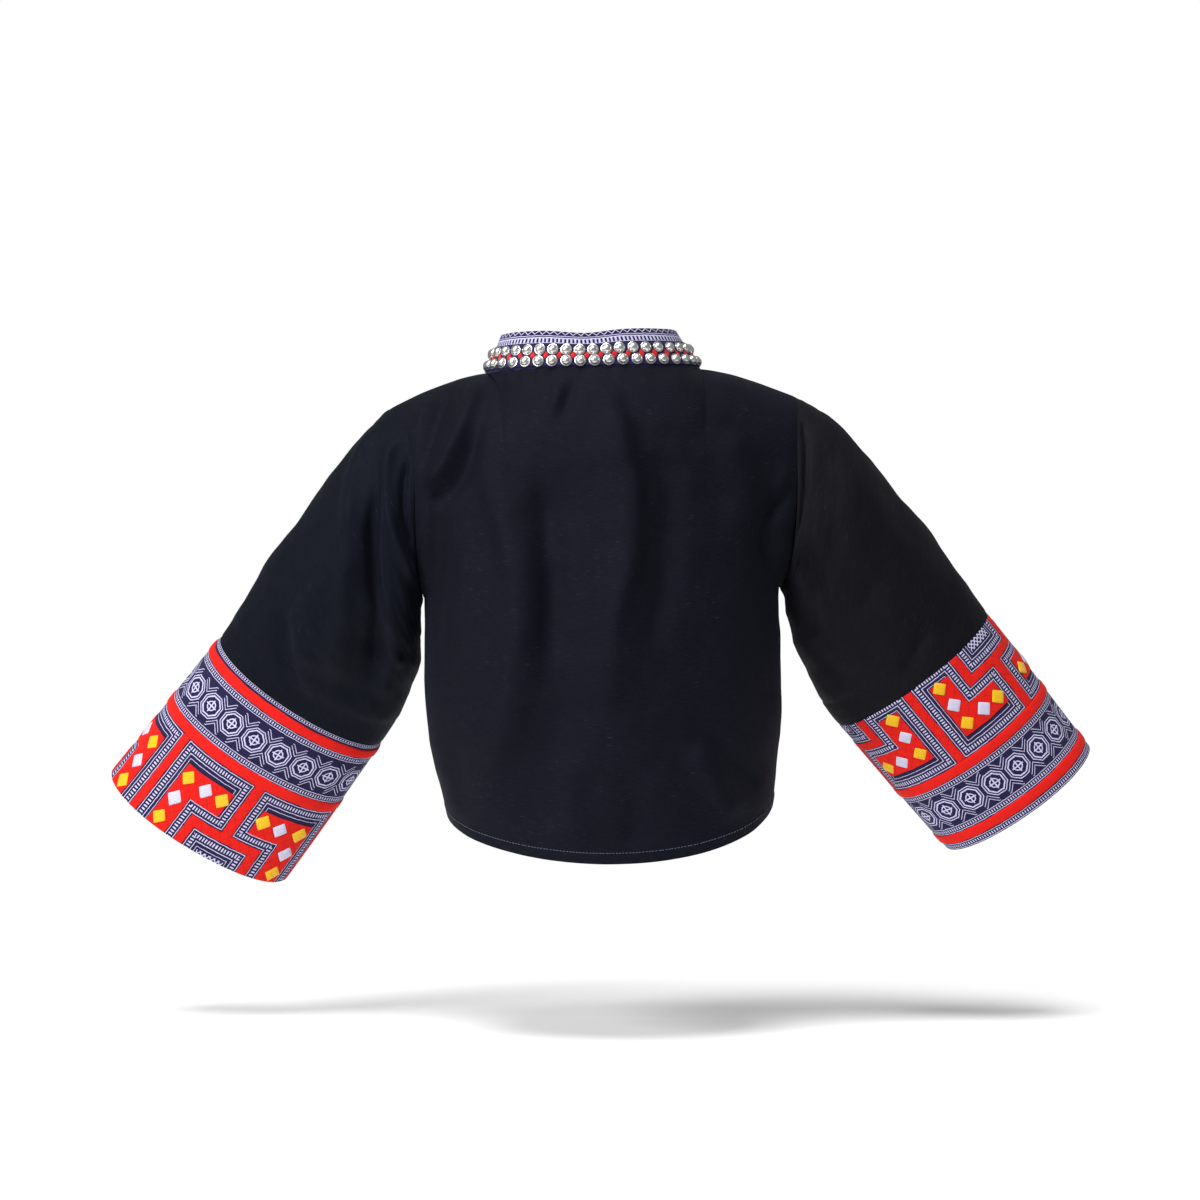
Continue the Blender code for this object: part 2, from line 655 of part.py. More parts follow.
def build_sleeve(hand, material):
    angles = ring_angles()
    rows = np.linspace(0, CUFF_SEAM_ROW, CUFF_SEAM_ROW * SLEEVE_STEPS_PER_ROW + 1)
    grid = sleeve(hand, angles[None, :], rows[:, None])
    normals = sleeve_normal(hand, angles[None, :], rows[:, None])
    body_turn = 0.0 if hand == LEFT else math.pi
    for index, angle in enumerate(angles):
        side = BACK if angle <= math.pi else FRONT
        quarter = min(angle, 2 * math.pi - angle) / (math.pi / 2)
        other = body_normal(side, body_turn, TOP_ROW - quarter)
        grid[0, index], normals[0, index] = join(grid[0, index], normals[0, index], other)
    pull_edge(grid, "first_row", SEAM_GAP / 2)
    pull_edge(grid, "last_row", SEAM_GAP / 2)
    return wall("sleeve_" + SIDE_NAMES[hand], grid, normals, LINEN, material, closed=True)


def build_cuff(hand, material):
    angles = ring_angles()
    rows = np.linspace(CUFF_SEAM_ROW, OPENING_ROW, CUFF_STEPS + 1)
    grid = sleeve(hand, angles[None, :], rows[:, None])
    normals = sleeve_normal(hand, angles[None, :], rows[:, None])
    pull_edge(grid, "first_row", SEAM_GAP / 2)
    return wall("cuff_" + SIDE_NAMES[hand], grid, normals, CUFF_CLOTH, material, closed=True)


def build_strip(hand, place, shares, material):
    """A strip sewn round a cuff, lying on it."""
    angles = ring_angles()
    rows = CUFF_SEAM_ROW + np.array(shares)
    grid = sleeve(hand, angles[None, :], rows[:, None])
    normals = sleeve_normal(hand, angles[None, :], rows[:, None])
    outer = grid + normals * (SEAM_GAP + STRIP_CLOTH)
    name = "strip_" + SIDE_NAMES[hand] + "_" + place
    return wall(name, outer, normals, STRIP_CLOTH, material, closed=True)


def collar_angles():
    """Angles from one end of the collar round the back to the other end."""
    half_slit = math.asin((COLLAR_HALF_SLIT / NECK_HALF) ** (NECK_SQUARENESS / 2))
    between = np.radians(np.arange(-90 + RING_STEP, 270, RING_STEP))
    return np.concatenate([[-math.pi / 2 + half_slit], between, [3 * math.pi / 2 - half_slit]])


def build_collar_layer(name, heights, stand_off, thickness, material):
    """A band of cloth or trim round the collar, its back a set distance from the collar's face."""
    angles = collar_angles()[None, :]
    heights = np.array(heights)[:, None]
    normals = collar_normal(angles, heights)
    if heights[0] == 0:
        normals[0, :, 2] = 0
        normals[0] = unit(normals[0])
    thickness = np.broadcast_to(np.array(thickness)[..., None], (heights.size, angles.size))
    outer = collar(angles, heights) + normals * (stand_off + thickness)[..., None]
    return wall(name, outer, normals, thickness, material)


def build_stud_row(place, material):
    """One row of domes, as a rounded bar of their width and height."""
    middle = STUD_ROW_HEIGHTS[place]
    shares = np.array([-1.0, -0.7, 0.0, 0.7, 1.0])
    heights = middle + shares * STUD_DIAMETER / 2
    rise = STUD_RIM + (STUD_HEIGHT - STUD_RIM) * np.sqrt(1 - shares ** 2)
    stand_off = SEAM_GAP + STRIP_CLOTH + SEAM_GAP
    return build_collar_layer("stud_row_" + place, heights, stand_off, rise, material)


def main():
    clear_scene()
    linen_black = (0.012, 0.012, 0.016)
    batik_navy = (0.12, 0.11, 0.24)
    strip_red = (0.76, 0.03, 0.02)
    silver = (0.82, 0.82, 0.80)

    build_back(finish("back_linen", linen_black, 0.85))
    build_left_front(finish("left_front_linen", linen_black, 0.85))
    build_right_front(finish("right_front_linen", linen_black, 0.85))
    build_front_band(finish("band_batik", batik_navy, 0.8))
    for hand in (LEFT, RIGHT):
        name = SIDE_NAMES[hand]
        build_sleeve(hand, finish("sleeve_linen_" + name, linen_black, 0.85))
        build_cuff(hand, finish("cuff_batik_" + name, batik_navy, 0.8))
        for place, shares in STRIPS[name].items():
            build_strip(hand, place, shares, finish("strip_red_" + name + "_" + place, strip_red, 0.75))

    collar_batik = finish("collar_batik", batik_navy, 0.8)
    build_collar_layer("collar", (0, COLLAR_HEIGHT / 2, COLLAR_HEIGHT), -COLLAR_CLOTH, COLLAR_CLOTH, collar_batik)
    tape_heights = [share * COLLAR_HEIGHT for share in TAPE_SHARES]
    build_collar_layer("stud_tape", tape_heights, SEAM_GAP, STRIP_CLOTH, finish("tape_navy", batik_navy, 0.8))
    for place in STUD_ROW_HEIGHTS:
        build_stud_row(place, finish("stud_silver_" + place, silver, 0.2, 1.0))


main()
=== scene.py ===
"""Hmong embroidered jacket: the visual model of a cropped black linen jacket in its worn form.

Every cloth piece is a thin shell on the form of its solid. A surface function gives each point of the
garment from an angle and a height row, in millimetres, and the folds, seams and stitches are worked
into it. Each shell carries an attribute, cut, with the place of every point on its flat piece of cloth in
millimetres, which the batik and the weave are drawn from.
"""

import math

import bmesh
import bpy
import numpy as np
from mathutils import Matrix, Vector


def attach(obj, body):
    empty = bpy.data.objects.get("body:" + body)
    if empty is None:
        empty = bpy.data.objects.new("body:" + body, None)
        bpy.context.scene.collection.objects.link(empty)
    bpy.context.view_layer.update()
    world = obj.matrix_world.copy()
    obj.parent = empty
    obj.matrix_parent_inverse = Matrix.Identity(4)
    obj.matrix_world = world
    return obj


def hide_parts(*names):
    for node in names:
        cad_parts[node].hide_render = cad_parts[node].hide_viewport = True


bl_info = {
    "name": "Embroidered Jacket",
    "version": (1, 0, 0),
    "blender": (4, 5, 0),
    "location": "3D View > Sidebar > Jacket",
    "description": "Sews a black linen jacket with batik cuffs, applique and silver domes",
    "category": "Object",
}

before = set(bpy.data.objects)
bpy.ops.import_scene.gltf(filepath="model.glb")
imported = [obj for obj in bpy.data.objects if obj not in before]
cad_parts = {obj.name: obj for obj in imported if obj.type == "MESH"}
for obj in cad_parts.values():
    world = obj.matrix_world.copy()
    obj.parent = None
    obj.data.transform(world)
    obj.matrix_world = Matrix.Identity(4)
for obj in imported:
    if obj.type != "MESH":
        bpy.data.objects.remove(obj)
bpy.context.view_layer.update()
BODY_NAME = "root"

MM = 0.001

# Cloth
LINEN = 1.5
CUFF_CLOTH = 1.8
COLLAR_CLOTH = 2.0
STRIP_CLOTH = 0.8
SEAM_GAP = 0.3
LAYER_GAP = 1.8

# Body: one row for each level from the hem up to the yoke. The last level, row 6, is the shoulder
# and neck line, and comes from the shoulder and neck sizes.
BODY_COLUMNS = ("left_x", "right_x", "left_z", "right_z", "back_y", "back_z", "front_y", "front_z")
BODY_TABLE = {
    "hem": (131, -161, -391, -382, 99, -436, -101, -430),
    "low": (145, -167, -342, -334, 102, -376, -105, -372),
    "waist": (151, -169, -293, -290, 104, -316, -108, -315),
    "chest": (152, -168, -247, -240, 106, -258, -110, -258),
    "armpit": (152, -167, -204, -194, 106, -203, -109, -203),
    "yoke": (158, -181, -106, -96, 97, -90, -95, -102),
}
HEM_ROW = 0
WAIST_ROW = 2
CHEST_ROW = 3
ARMPIT_ROW = 4
YOKE_ROW = 5
TOP_ROW = 6
BODY_ROUNDNESS = 0.8
YOKE_ROUNDNESS = 1.0

# Armholes, shoulders and neck
ARMHOLE_HALF_DEPTH = 52
SHOULDER_HALF = 185
SHOULDER_SEAM_Y = -4
LEFT_TIP_Z = -34
RIGHT_TIP_Z = -24
SHOULDER_CURVE = 1.45
NECK_HALF = 96
NECK_TILT = 2
NECK_BACK_Y = 62
NECK_FRONT_Y = -72
NECK_FRONT_Z = -45
NECK_SQUARENESS = 2.5
SHOULDER_ARC = math.radians(90)
NECK_ARC = math.radians(55)

# Crossing of the fronts: the overlap's free edge runs from the front of the neck to the right side
# seam, and its band's inner edge from the neck's left quarter to the same seam lower down.
FREE_EDGE_LOW = (-168, -217)
BAND_EDGE_LOW = (-169, -290)
BAND_NECK_ANGLE = 45
UNDERLAP_DROP = 40
UNDERLAP_STEP = (6, 34)

# Folds of the body: a soft ridge (or a trough, if its height is negative) down a line through three
# points, at the top, the middle and the bottom.
FOLD_COLUMNS = ("side", "top_x", "top_z", "mid_x", "mid_z", "low_x", "low_z", "half_width", "height")
BODY_FOLDS = {
    "left_blade": (1, 98, -50, 72, -206, 96, -400, 22, 5.5),
    "centre_ridge": (1, 2, -30, -24, -190, -8, -330, 19, 4.5),
    "right_drop": (1, -140, -70, -128, -230, -120, -400, 20, 3.0),
    "centre_hollow": (1, 34, -60, 28, -230, 40, -420, 20, -3.0),
    "front_left_drop": (-1, 92, -80, 78, -230, 84, -410, 24, 4.0),
    "front_right_drop": (-1, -60, -250, -74, -330, -80, -420, 22, 4.0),
}

# Sleeves: a ring in each row, from its outer and inner line, the middle and half of its depth, and
# how far the back of the ring runs on down the sleeve. Row 0 is the armhole, row 6 the cuff seam and
# row 7 the cuff's opening.
SLEEVE_COLUMNS = ("outer_x", "outer_z", "inner_x", "inner_z", "mid_y", "half_y", "lean")
LEFT_SLEEVE_TABLE = {
    "armhole": (185, -34, 152, -204, 0, 52, 0),
    "cap": (209, -60, 156, -226, -3, 56, 4),
    "upper": (234, -90, 157, -245, -12, 58, 8),
    "elbow": (265, -131, 159, -265, -27, 57, 12),
    "lower": (295, -168, 167, -288, -43, 54, 15),
    "wrist": (321, -207, 180, -313, -60, 50, 17),
    "cuff_seam": (346, -243, 198, -341, -77, 46, 19),
    "opening": (449, -365, 288, -466, -120, 42, 20),
}
RIGHT_SLEEVE_TABLE = {
    "armhole": (-185, -24, -167, -194, 0, 52, 0),
    "cap": (-217, -45, -173, -208, 0, 55, 3),
    "upper": (-246, -76, -177, -228, -6, 57, 5),
    "elbow": (-274, -109, -184, -248, -17, 57, 8),
    "lower": (-303, -141, -195, -272, -29, 56, 10),
    "wrist": (-331, -178, -209, -296, -41, 54, 11),
    "cuff_seam": (-360, -217, -225, -320, -52, 52, 12),
    "opening": (-458, -339, -326, -435, -83, 50, 14),
}
CUFF_SEAM_ROW = 6
OPENING_ROW = 7
ARMHOLE_FADE_ROWS = 1.5

# Folds of the sleeves: from one row and angle to another. An angle of 0 is the outer line, 90 the
# back and 180 the inner line.
SLEEVE_FOLD_COLUMNS = ("row_a", "angle_a", "row_b", "angle_b", "half_angle", "height")
LEFT_SLEEVE_FOLDS = {
    "cap_trough": (0.5, 68, 2.4, 112, 13, -5.0),
    "long_ridge": (1.6, 66, 5.0, 84, 15, 5.0),
    "inner_trough": (2.6, 128, 5.2, 122, 15, -5.0),
    "front_trough": (0.8, 290, 3.6, 255, 16, -5.0),
}
RIGHT_SLEEVE_FOLDS = {
    "armpit_trough": (0.6, 128, 2.6, 120, 16, -4.5),
    "long_ridge": (1.4, 84, 5.0, 92, 18, 3.5),
    "front_trough": (0.8, 282, 3.4, 248, 16, -5.0),
}

# Collar: half sizes of its foot and its top edge
COLLAR_HEIGHT = 33
COLLAR_LIFT = 0.5
COLLAR_TOP_HALF = 79
COLLAR_TOP_BACK_Y = 57
COLLAR_TOP_FRONT_Y = -66
COLLAR_TOP_SHIFT = 4
COLLAR_DIP = 3.5
COLLAR_DIP_X = 6
COLLAR_DIP_HALF = 26
COLLAR_HALF_SLIT = 5
TAPE_SHARES = (0.03, 0.655)
STUD_DIAMETER = 10.0
STUD_HEIGHT = 4.2
STUD_ROW_HEIGHTS = {"lower": 5.4, "upper": 15.9}

BACK = 1
FRONT = -1
LEFT = 1
RIGHT = -1
SMALL = 1e-3
EDGE_MARGIN = math.radians(2)


def columns_of(table, names):
    """Turn a table of rows into one array for each named column."""
    return dict(zip(names, np.array(list(table.values()), dtype=float).T))


BODY = columns_of(BODY_TABLE, BODY_COLUMNS)
SLEEVES = {
    LEFT: columns_of(LEFT_SLEEVE_TABLE, SLEEVE_COLUMNS),
    RIGHT: columns_of(RIGHT_SLEEVE_TABLE, SLEEVE_COLUMNS),
}
SLEEVE_FOLDS = {
    LEFT: [dict(zip(SLEEVE_FOLD_COLUMNS, fold)) for fold in LEFT_SLEEVE_FOLDS.values()],
    RIGHT: [dict(zip(SLEEVE_FOLD_COLUMNS, fold)) for fold in RIGHT_SLEEVE_FOLDS.values()],
}
SIDE_NAMES = {LEFT: "left", RIGHT: "right"}
NECK_SHARE = NECK_HALF / SHOULDER_HALF
NECK_TURN = (1 - NECK_SHARE) * math.pi / 2


# Small maths

def smooth(column, row):
    """Read a table column at a part row, on a smooth curve through its values."""
    slopes = np.gradient(column)
    low = np.clip(np.floor(row).astype(int), 0, len(column) - 2)
    t = row - low
    return (
        (1 + 2 * t) * (1 - t) ** 2 * column[low]
        + t * (1 - t) ** 2 * slopes[low]
        + t ** 2 * (3 - 2 * t) * column[low + 1]
        + t ** 2 * (t - 1) * slopes[low + 1]
    )


def ease(value, low, high):
    """Rise smoothly from 0 at low to 1 at high."""
    t = np.clip((value - low) / (high - low), 0, 1)
    return t * t * (3 - 2 * t)


def mix(first, second, share):
    """Go from the first value to the second by a share."""
    return first + (second - first) * share


def unit(vectors):
    """The vectors, one long each."""
    length = np.linalg.norm(vectors, axis=-1, keepdims=True)
    return vectors / np.maximum(length, 1e-12)


def along_line(start, end, x):
    """Height of the straight line through two (x, z) points."""
    return start[1] + (end[1] - start[1]) * (x - start[0]) / (end[0] - start[0])


# The body's surface

def body_edge(hand, row):
    """The side seam up to the armpit, then round the armhole to the shoulder's tip."""
    name = SIDE_NAMES[hand]
    column_x = BODY[name + "_x"]
    column_z = BODY[name + "_z"]
    tip_z = LEFT_TIP_Z if hand == LEFT else RIGHT_TIP_Z
    skirt = np.minimum(row, ARMPIT_ROW)
    lower = np.clip(row - ARMPIT_ROW, 0, 1) * math.pi / 2
    upper = np.clip(row - YOKE_ROW, 0, 1) * math.pi / 2
    x = smooth(column_x, skirt)
    x = x + (column_x[YOKE_ROW] - column_x[ARMPIT_ROW]) * np.sin(lower)
    x = x + (hand * SHOULDER_HALF - column_x[YOKE_ROW]) * (1 - np.cos(upper))
    z = smooth(column_z, skirt)
    z = z + (column_z[YOKE_ROW] - column_z[ARMPIT_ROW]) * (1 - np.cos(lower))
    z = z + (tip_z - column_z[YOKE_ROW]) * np.sin(upper)
    depth = ARMHOLE_HALF_DEPTH * np.sin(lower) * np.cos(upper)
    return x, z, depth


def neck_line(side, across):
    """Shoulder seams and neck curve, from the left tip (1) to the right tip (-1)."""
    reach = np.clip(np.abs(across) / NECK_SHARE, 0, 1)
    curve = (1 - reach ** NECK_SQUARENESS) ** (1 / NECK_SQUARENESS)
    slope = np.clip((np.abs(across) - NECK_SHARE) / (1 - NECK_SHARE), 0, 1) ** SHOULDER_CURVE
    tilt = -NECK_TILT * np.clip(across / NECK_SHARE, -1, 1)
    tip_z = np.where(across > 0, LEFT_TIP_Z, RIGHT_TIP_Z)
    neck_y = NECK_BACK_Y if side == BACK else NECK_FRONT_Y
    neck_z = 0 if side == BACK else NECK_FRONT_Z
    x = SHOULDER_HALF * across
    y = mix(SHOULDER_SEAM_Y, neck_y, curve)
    z = neck_z * curve ** 2 + tilt + (tip_z - tilt) * slope
    return x, y, z, curve


def fold_height(side, x, z):
    """How far the folds of one side lift the cloth at a point."""
    lift = np.zeros_like(x)
    for values in BODY_FOLDS.values():
        fold = dict(zip(FOLD_COLUMNS, values))
        if fold["side"] != side:
            continue
        upper = (z - fold["low_z"]) / (fold["top_z"] - fold["low_z"])
        middle = (fold["mid_z"] - fold["low_z"]) / (fold["top_z"] - fold["low_z"])
        bow = fold["mid_x"] - mix(fold["low_x"], fold["top_x"], middle)
        line_x = mix(fold["low_x"], fold["top_x"], upper)
        line_x = line_x + bow * upper * (1 - upper) / (middle * (1 - middle))
        fade = ease(upper, -0.05, 0.25) * (1 - ease(upper, 0.75, 1.05))
        lift = lift + fold["height"] * fade * np.exp(-(((x - line_x) / fold["half_width"]) ** 2))
    return lift


def body(side, turn, row):
    """A point of the body: side is back or front, turn goes from 0 at the left edge to pi at the right."""
    turn, row = np.broadcast_arrays(np.asarray(turn, float), np.asarray(row, float))
    level = np.minimum(row, YOKE_ROW)
    flatten = np.sin(np.clip(level - ARMPIT_ROW, 0, 1) * math.pi / 2)
    across = mix(np.cos(turn), 1 - 2 * turn / math.pi, flatten)
    around = np.abs(np.sin(turn))
    name = "back" if side == BACK else "front"
    middle_y = smooth(BODY[name + "_y"], level)
    middle_z = smooth(BODY[name + "_z"], level)
    roundness = mix(BODY_ROUNDNESS, YOKE_ROUNDNESS, np.clip(level - ARMPIT_ROW, 0, 1))
    left_x, left_z, left_depth = body_edge(LEFT, level)
    right_x, right_z, right_depth = body_edge(RIGHT, level)
    share = (1 - across) / 2
    x = mix(left_x, right_x, share)
    edge_y = side * mix(left_depth, right_depth, share)
    edge_z = mix(left_z, right_z, share)
    y = mix(edge_y, middle_y, around ** roundness)
    z = mix(edge_z, middle_z, around)
    top_x, top_y, top_z, curve = neck_line(side, across)
    arc = mix(SHOULDER_ARC, NECK_ARC, curve)
    angle = np.clip(row - YOKE_ROW, 0, 1) * arc
    rise = np.sin(angle) / np.sin(arc)
    inward = (1 - np.cos(angle)) / (1 - np.cos(arc))
    x = mix(x, top_x, inward)
    y = mix(y, top_y, inward)
    z = mix(z, top_z, rise)
    y = y + side * fold_height(side, x, z) * around
    return np.stack([x, y, z], axis=-1)


# The sleeves' surface

def sleeve_ring(hand, angle, row):
    """A point of a plain sleeve ring."""
    table = SLEEVES[hand]
    value = {name: smooth(column, row) for name, column in table.items()}
    half_x = (value["outer_x"] - value["inner_x"]) / 2
    half_z = (value["outer_z"] - value["inner_z"]) / 2
    length = np.hypot(half_x, half_z)
    lean = value["lean"] * np.sin(angle)
    x = (value["outer_x"] + value["inner_x"]) / 2 + half_x * np.cos(angle) + lean * hand * half_z / length
    z = (value["outer_z"] + value["inner_z"]) / 2 + half_z * np.cos(angle) - lean * hand * half_x / length
    y = value["mid_y"] + value["half_y"] * np.sin(angle)
    return np.stack([x, y, z], axis=-1)


def armhole(hand, angle):
    """A point of the armhole's seam, at the sleeve's own angle."""
    behind = (angle <= math.pi)[..., None]
    row = TOP_ROW - np.minimum(angle, 2 * math.pi - angle) / (math.pi / 2)
    turn = 0.0 if hand == LEFT else math.pi
    return np.where(behind, body(BACK, turn, row), body(FRONT, turn, row))


def sleeve(hand, angle, row):
    """A point of a sleeve or its cuff, with its folds."""
    angle, row = np.broadcast_arrays(np.asarray(angle, float), np.asarray(row, float))
    point = sleeve_ring(hand, angle, np.minimum(row, CUFF_SEAM_ROW))
    keep = np.clip(1 - row / ARMHOLE_FADE_ROWS, 0, 1)[..., None] ** 2
    point = point + (armhole(hand, angle) - sleeve_ring(hand, angle, np.zeros_like(row))) * keep
    lift = np.zeros_like(angle)
    for fold in SLEEVE_FOLDS[hand]:
        share = (row - fold["row_a"]) / (fold["row_b"] - fold["row_a"])
        line = np.radians(mix(fold["angle_a"], fold["angle_b"], share))
        fade = ease(share, -0.1, 0.3) * (1 - ease(share, 0.7, 1.1))
        half_angle = math.radians(fold["half_angle"])
        lift = lift + fold["height"] * fade * np.exp(-(((angle - line) / half_angle) ** 2))
    middle = (sleeve_ring(hand, 0.0 * angle, row) + sleeve_ring(hand, 0.0 * angle + math.pi, row)) / 2
    point = point + unit(point - middle) * lift[..., None]
    cuff_share = np.clip(row - CUFF_SEAM_ROW, 0, 1)[..., None]
    opening = sleeve_ring(hand, angle, np.full_like(row, OPENING_ROW))
    return mix(point, opening, cuff_share)


def sleeve_normal(hand, angle, row):
    """Outward direction of a sleeve's surface."""
    angle, row = np.broadcast_arrays(np.asarray(angle, float), np.asarray(row, float))
    low = np.clip(row - SMALL, 0, None)
    down = sleeve(hand, angle, low + SMALL) - sleeve(hand, angle, low)
    ahead = sleeve(hand, (angle + SMALL) % (2 * math.pi), row)
    behind = sleeve(hand, (angle - SMALL) % (2 * math.pi), row)
    return unit(hand * np.cross(down, ahead - behind))


# The collar's surface

def collar(angle, height):
    """A point of the collar: angle 0 is the wearer's left, 90 degrees the back."""
    angle, height = np.broadcast_arrays(np.asarray(angle, float), np.asarray(height, float))
    share = height / COLLAR_HEIGHT
    power = 2 / NECK_SQUARENESS
    across = np.sign(np.cos(angle)) * np.abs(np.cos(angle)) ** power
    curve = np.abs(np.sin(angle)) ** power
    behind = np.sin(angle) > 0
    foot_y = np.where(behind, NECK_BACK_Y, NECK_FRONT_Y)
    top_y = np.where(behind, COLLAR_TOP_BACK_Y, COLLAR_TOP_FRONT_Y)
    foot_z = np.where(behind, 0, NECK_FRONT_Z)
    x = across * mix(NECK_HALF, COLLAR_TOP_HALF, share) + COLLAR_TOP_SHIFT * share
    y = mix(SHOULDER_SEAM_Y, mix(foot_y, top_y, share), curve)
    z = foot_z * curve ** 2 - NECK_TILT * across + COLLAR_LIFT + height
    dip = COLLAR_DIP * share * np.exp(-(((x - COLLAR_DIP_X) / COLLAR_DIP_HALF) ** 2)) * behind
    return np.stack([x, y, z - dip], axis=-1)


def collar_normal(angle, height):
    """Outward direction of the collar's surface."""
    sweep = collar(angle + SMALL, height) - collar(angle - SMALL, height)
    rise = collar(angle, height + SMALL) - collar(angle, height - SMALL)
    return unit(np.cross(sweep, rise))


# Creases. Each is a line through a few points, with the half width of its slope on the line's left
# and right and its height in millimetres; a trough's height is negative.
CREASE_COLUMNS = ("side", "line", "left_width", "right_width", "height")
BODY_CREASES = {
    "blade_ridge": (
        1, ((99, -45), (92, -98), (78, -143), (67, -195), (68, -260), (88, -335), (104, -385)),
        10, 17, 2.6,
    ),
    "centre_ridge": (
        1, ((-4, -12), (-20, -44), (-31, -85), (-36, -125), (-33, -170), (-20, -225), (-14, -290)),
        15, 10, 4.2,
    ),
    "between_blades": (1, ((46, -90), (39, -150), (35, -215), (40, -275)), 13, 14, -4.2),
    "beside_centre": (1, ((-58, -66), (-66, -130), (-60, -200), (-50, -265)), 11, 15, -2.6),
    "left_seam_hollow": (1, ((137, -112), (138, -160), (141, -220), (146, -265)), 9, 12, -3.4),
    "shoulder_ridge": (1, ((155, -108), (135, -92), (118, -60), (106, -26), (101, -6)), 7, 9, 4.6),
    "under_shoulder_ridge": (1, ((150, -120), (127, -110), (110, -84), (98, -44)), 8, 7, -3.6),
    "over_shoulder_ridge": (1, ((157, -98), (146, -70), (134, -34), (126, -14)), 6, 6, -3.2),
    "upper_shoulder_ridge": (1, ((165, -84), (156, -50), (143, -22)), 6, 8, 2.4),
    "collar_fold": (1, ((14, -8), (20, -26), (27, -46)), 4.5, 5.5, -1.7),
    "collar_fold_lip": (1, ((28, -12), (33, -28), (38, -48)), 4, 6, 1.8),
    "right_blade": (1, ((-122, -50), (-130, -108), (-124, -170)), 18, 16, 2.6),
    "right_armhole_fold": (1, ((-184, -108), (-163, -124), (-153, -148), (-160, -186)), 9, 8, -4.4),
    "right_seam_lip": (1, ((-176, -84), (-168, -104), (-166, -120)), 6, 7, 2.0),
    "low_right_ridge": (1, ((-84, -330), (-108, -368), (-126, -402)), 10, 13, 3.0),
    "low_right_trough": (1, ((-100, -318), (-128, -350), (-150, -372)), 10, 9, -2.6),
    "low_left_trough": (1, ((120, -300), (122, -350), (112, -400)), 10, 10, -1.8),
    "hem_wave_a": (1, ((22, -340), (20, -385), (18, -428)), 17, 14, 2.0),
    "hem_wave_b": (1, ((-34, -350), (-36, -390), (-38, -430)), 12, 14, -1.6),
    "front_left_drop": (-1, ((104, -50), (90, -120), (74, -215), (70, -320), (76, -405)), 14, 18, 3.4),
    "front_left_trough": (-1, ((60, -140), (44, -220), (40, -320)), 15, 13, -3.0),
    "front_armhole_fold": (-1, ((166, -112), (146, -126), (134, -158), (136, -205)), 8, 9, -4.0),
    "front_cross_pull": (-1, ((120, -190), (40, -246), (-70, -318), (-128, -340)), 13, 11, 2.6),
    "front_cross_trough": (-1, ((60, -290), (-20, -336), (-96, -372)), 12, 12, -2.0),
    "front_right_drop": (-1, ((-84, -262), (-92, -330), (-88, -410)), 14, 13, 2.8),
    "underlap_fold": (-1, ((-176, -100), (-150, -96), (-118, -72)), 7, 9, -2.8),
}
SLEEVE_CREASE_COLUMNS = ("line", "left_width", "right_width", "height")
LEFT_SLEEVE_CREASES = {
    "cap_loop": (((0.05, 40), (0.5, 58), (0.75, 90), (0.55, 122), (0.15, 142)), 8, 7, 3.6),
    "cap_line": (((0.0, 62), (0.28, 84), (0.3, 104), (0.02, 126)), 5, 4, -3.2),
    "outer_loop": (((0.4, 20), (1.1, 34), (1.7, 56), (2.1, 78)), 12, 9, 3.2),
    "loop_shadow": (((0.9, 66), (1.5, 88), (2.2, 108), (3.2, 124), (4.4, 134)), 9, 10, -5.0),
    "long_ridge": (((2.0, 74), (3.0, 90), (3.9, 100), (4.9, 104)), 10, 12, 4.6),
    "small_trough": (((4.2, 56), (4.8, 72), (5.5, 86)), 10, 8, -3.4),
    "wrist_ridge": (((4.4, 84), (5.0, 92), (5.7, 98)), 9, 9, 1.8),
    "elbow_pull": (((2.8, 150), (3.6, 140), (4.6, 146)), 8, 8, 2.4),
    "front_fold_a": (((0.4, 300), (1.4, 272), (2.8, 248), (4.0, 238)), 11, 10, -5.0),
    "front_fold_b": (((0.9, 330), (2.2, 300), (3.8, 282), (5.0, 276)), 12, 12, 3.6),
    "front_fold_c": (((1.6, 212), (2.8, 222), (4.2, 214)), 9, 9, -3.4),
}
RIGHT_SLEEVE_CREASES = {
    "seam_lip": (((0.05, 40), (0.32, 66), (0.36, 100), (0.1, 130)), 5, 6, -2.6),
    "armpit_fold": (((0.3, 140), (1.0, 128), (2.0, 122), (3.0, 126)), 9, 10, -3.8),
    "upper_glow": (((1.0, 46), (2.2, 56), (3.6, 58), (4.8, 54)), 20, 20, 2.8),
    "long_hollow": (((1.4, 92), (2.8, 96), (4.2, 88)), 15, 15, -2.4),
    "low_glow": (((2.8, 136), (3.8, 128), (5.0, 120)), 11, 13, 2.6),
    "wrist_dip": (((4.8, 66), (5.4, 80), (5.8, 100)), 9, 9, -1.6),
    "front_fold_a": (((0.4, 296), (1.5, 270), (2.8, 246), (3.8, 236)), 10, 11, -4.6),
    "front_fold_b": (((1.0, 326), (2.4, 302), (4.2, 288)), 13, 12, 3.2),
}
SLEEVE_CREASES = {LEFT: LEFT_SLEEVE_CREASES, RIGHT: RIGHT_SLEEVE_CREASES}
SLEEVE_ROW_LENGTH = 44
SLEEVE_DEGREE_LENGTH = 1.15
CREASE_SAMPLES = 28
BODY_CREASE_STRENGTH = 1.6
SLEEVE_CREASE_STRENGTH = 1.5
GATHER_STRENGTH = 1.5

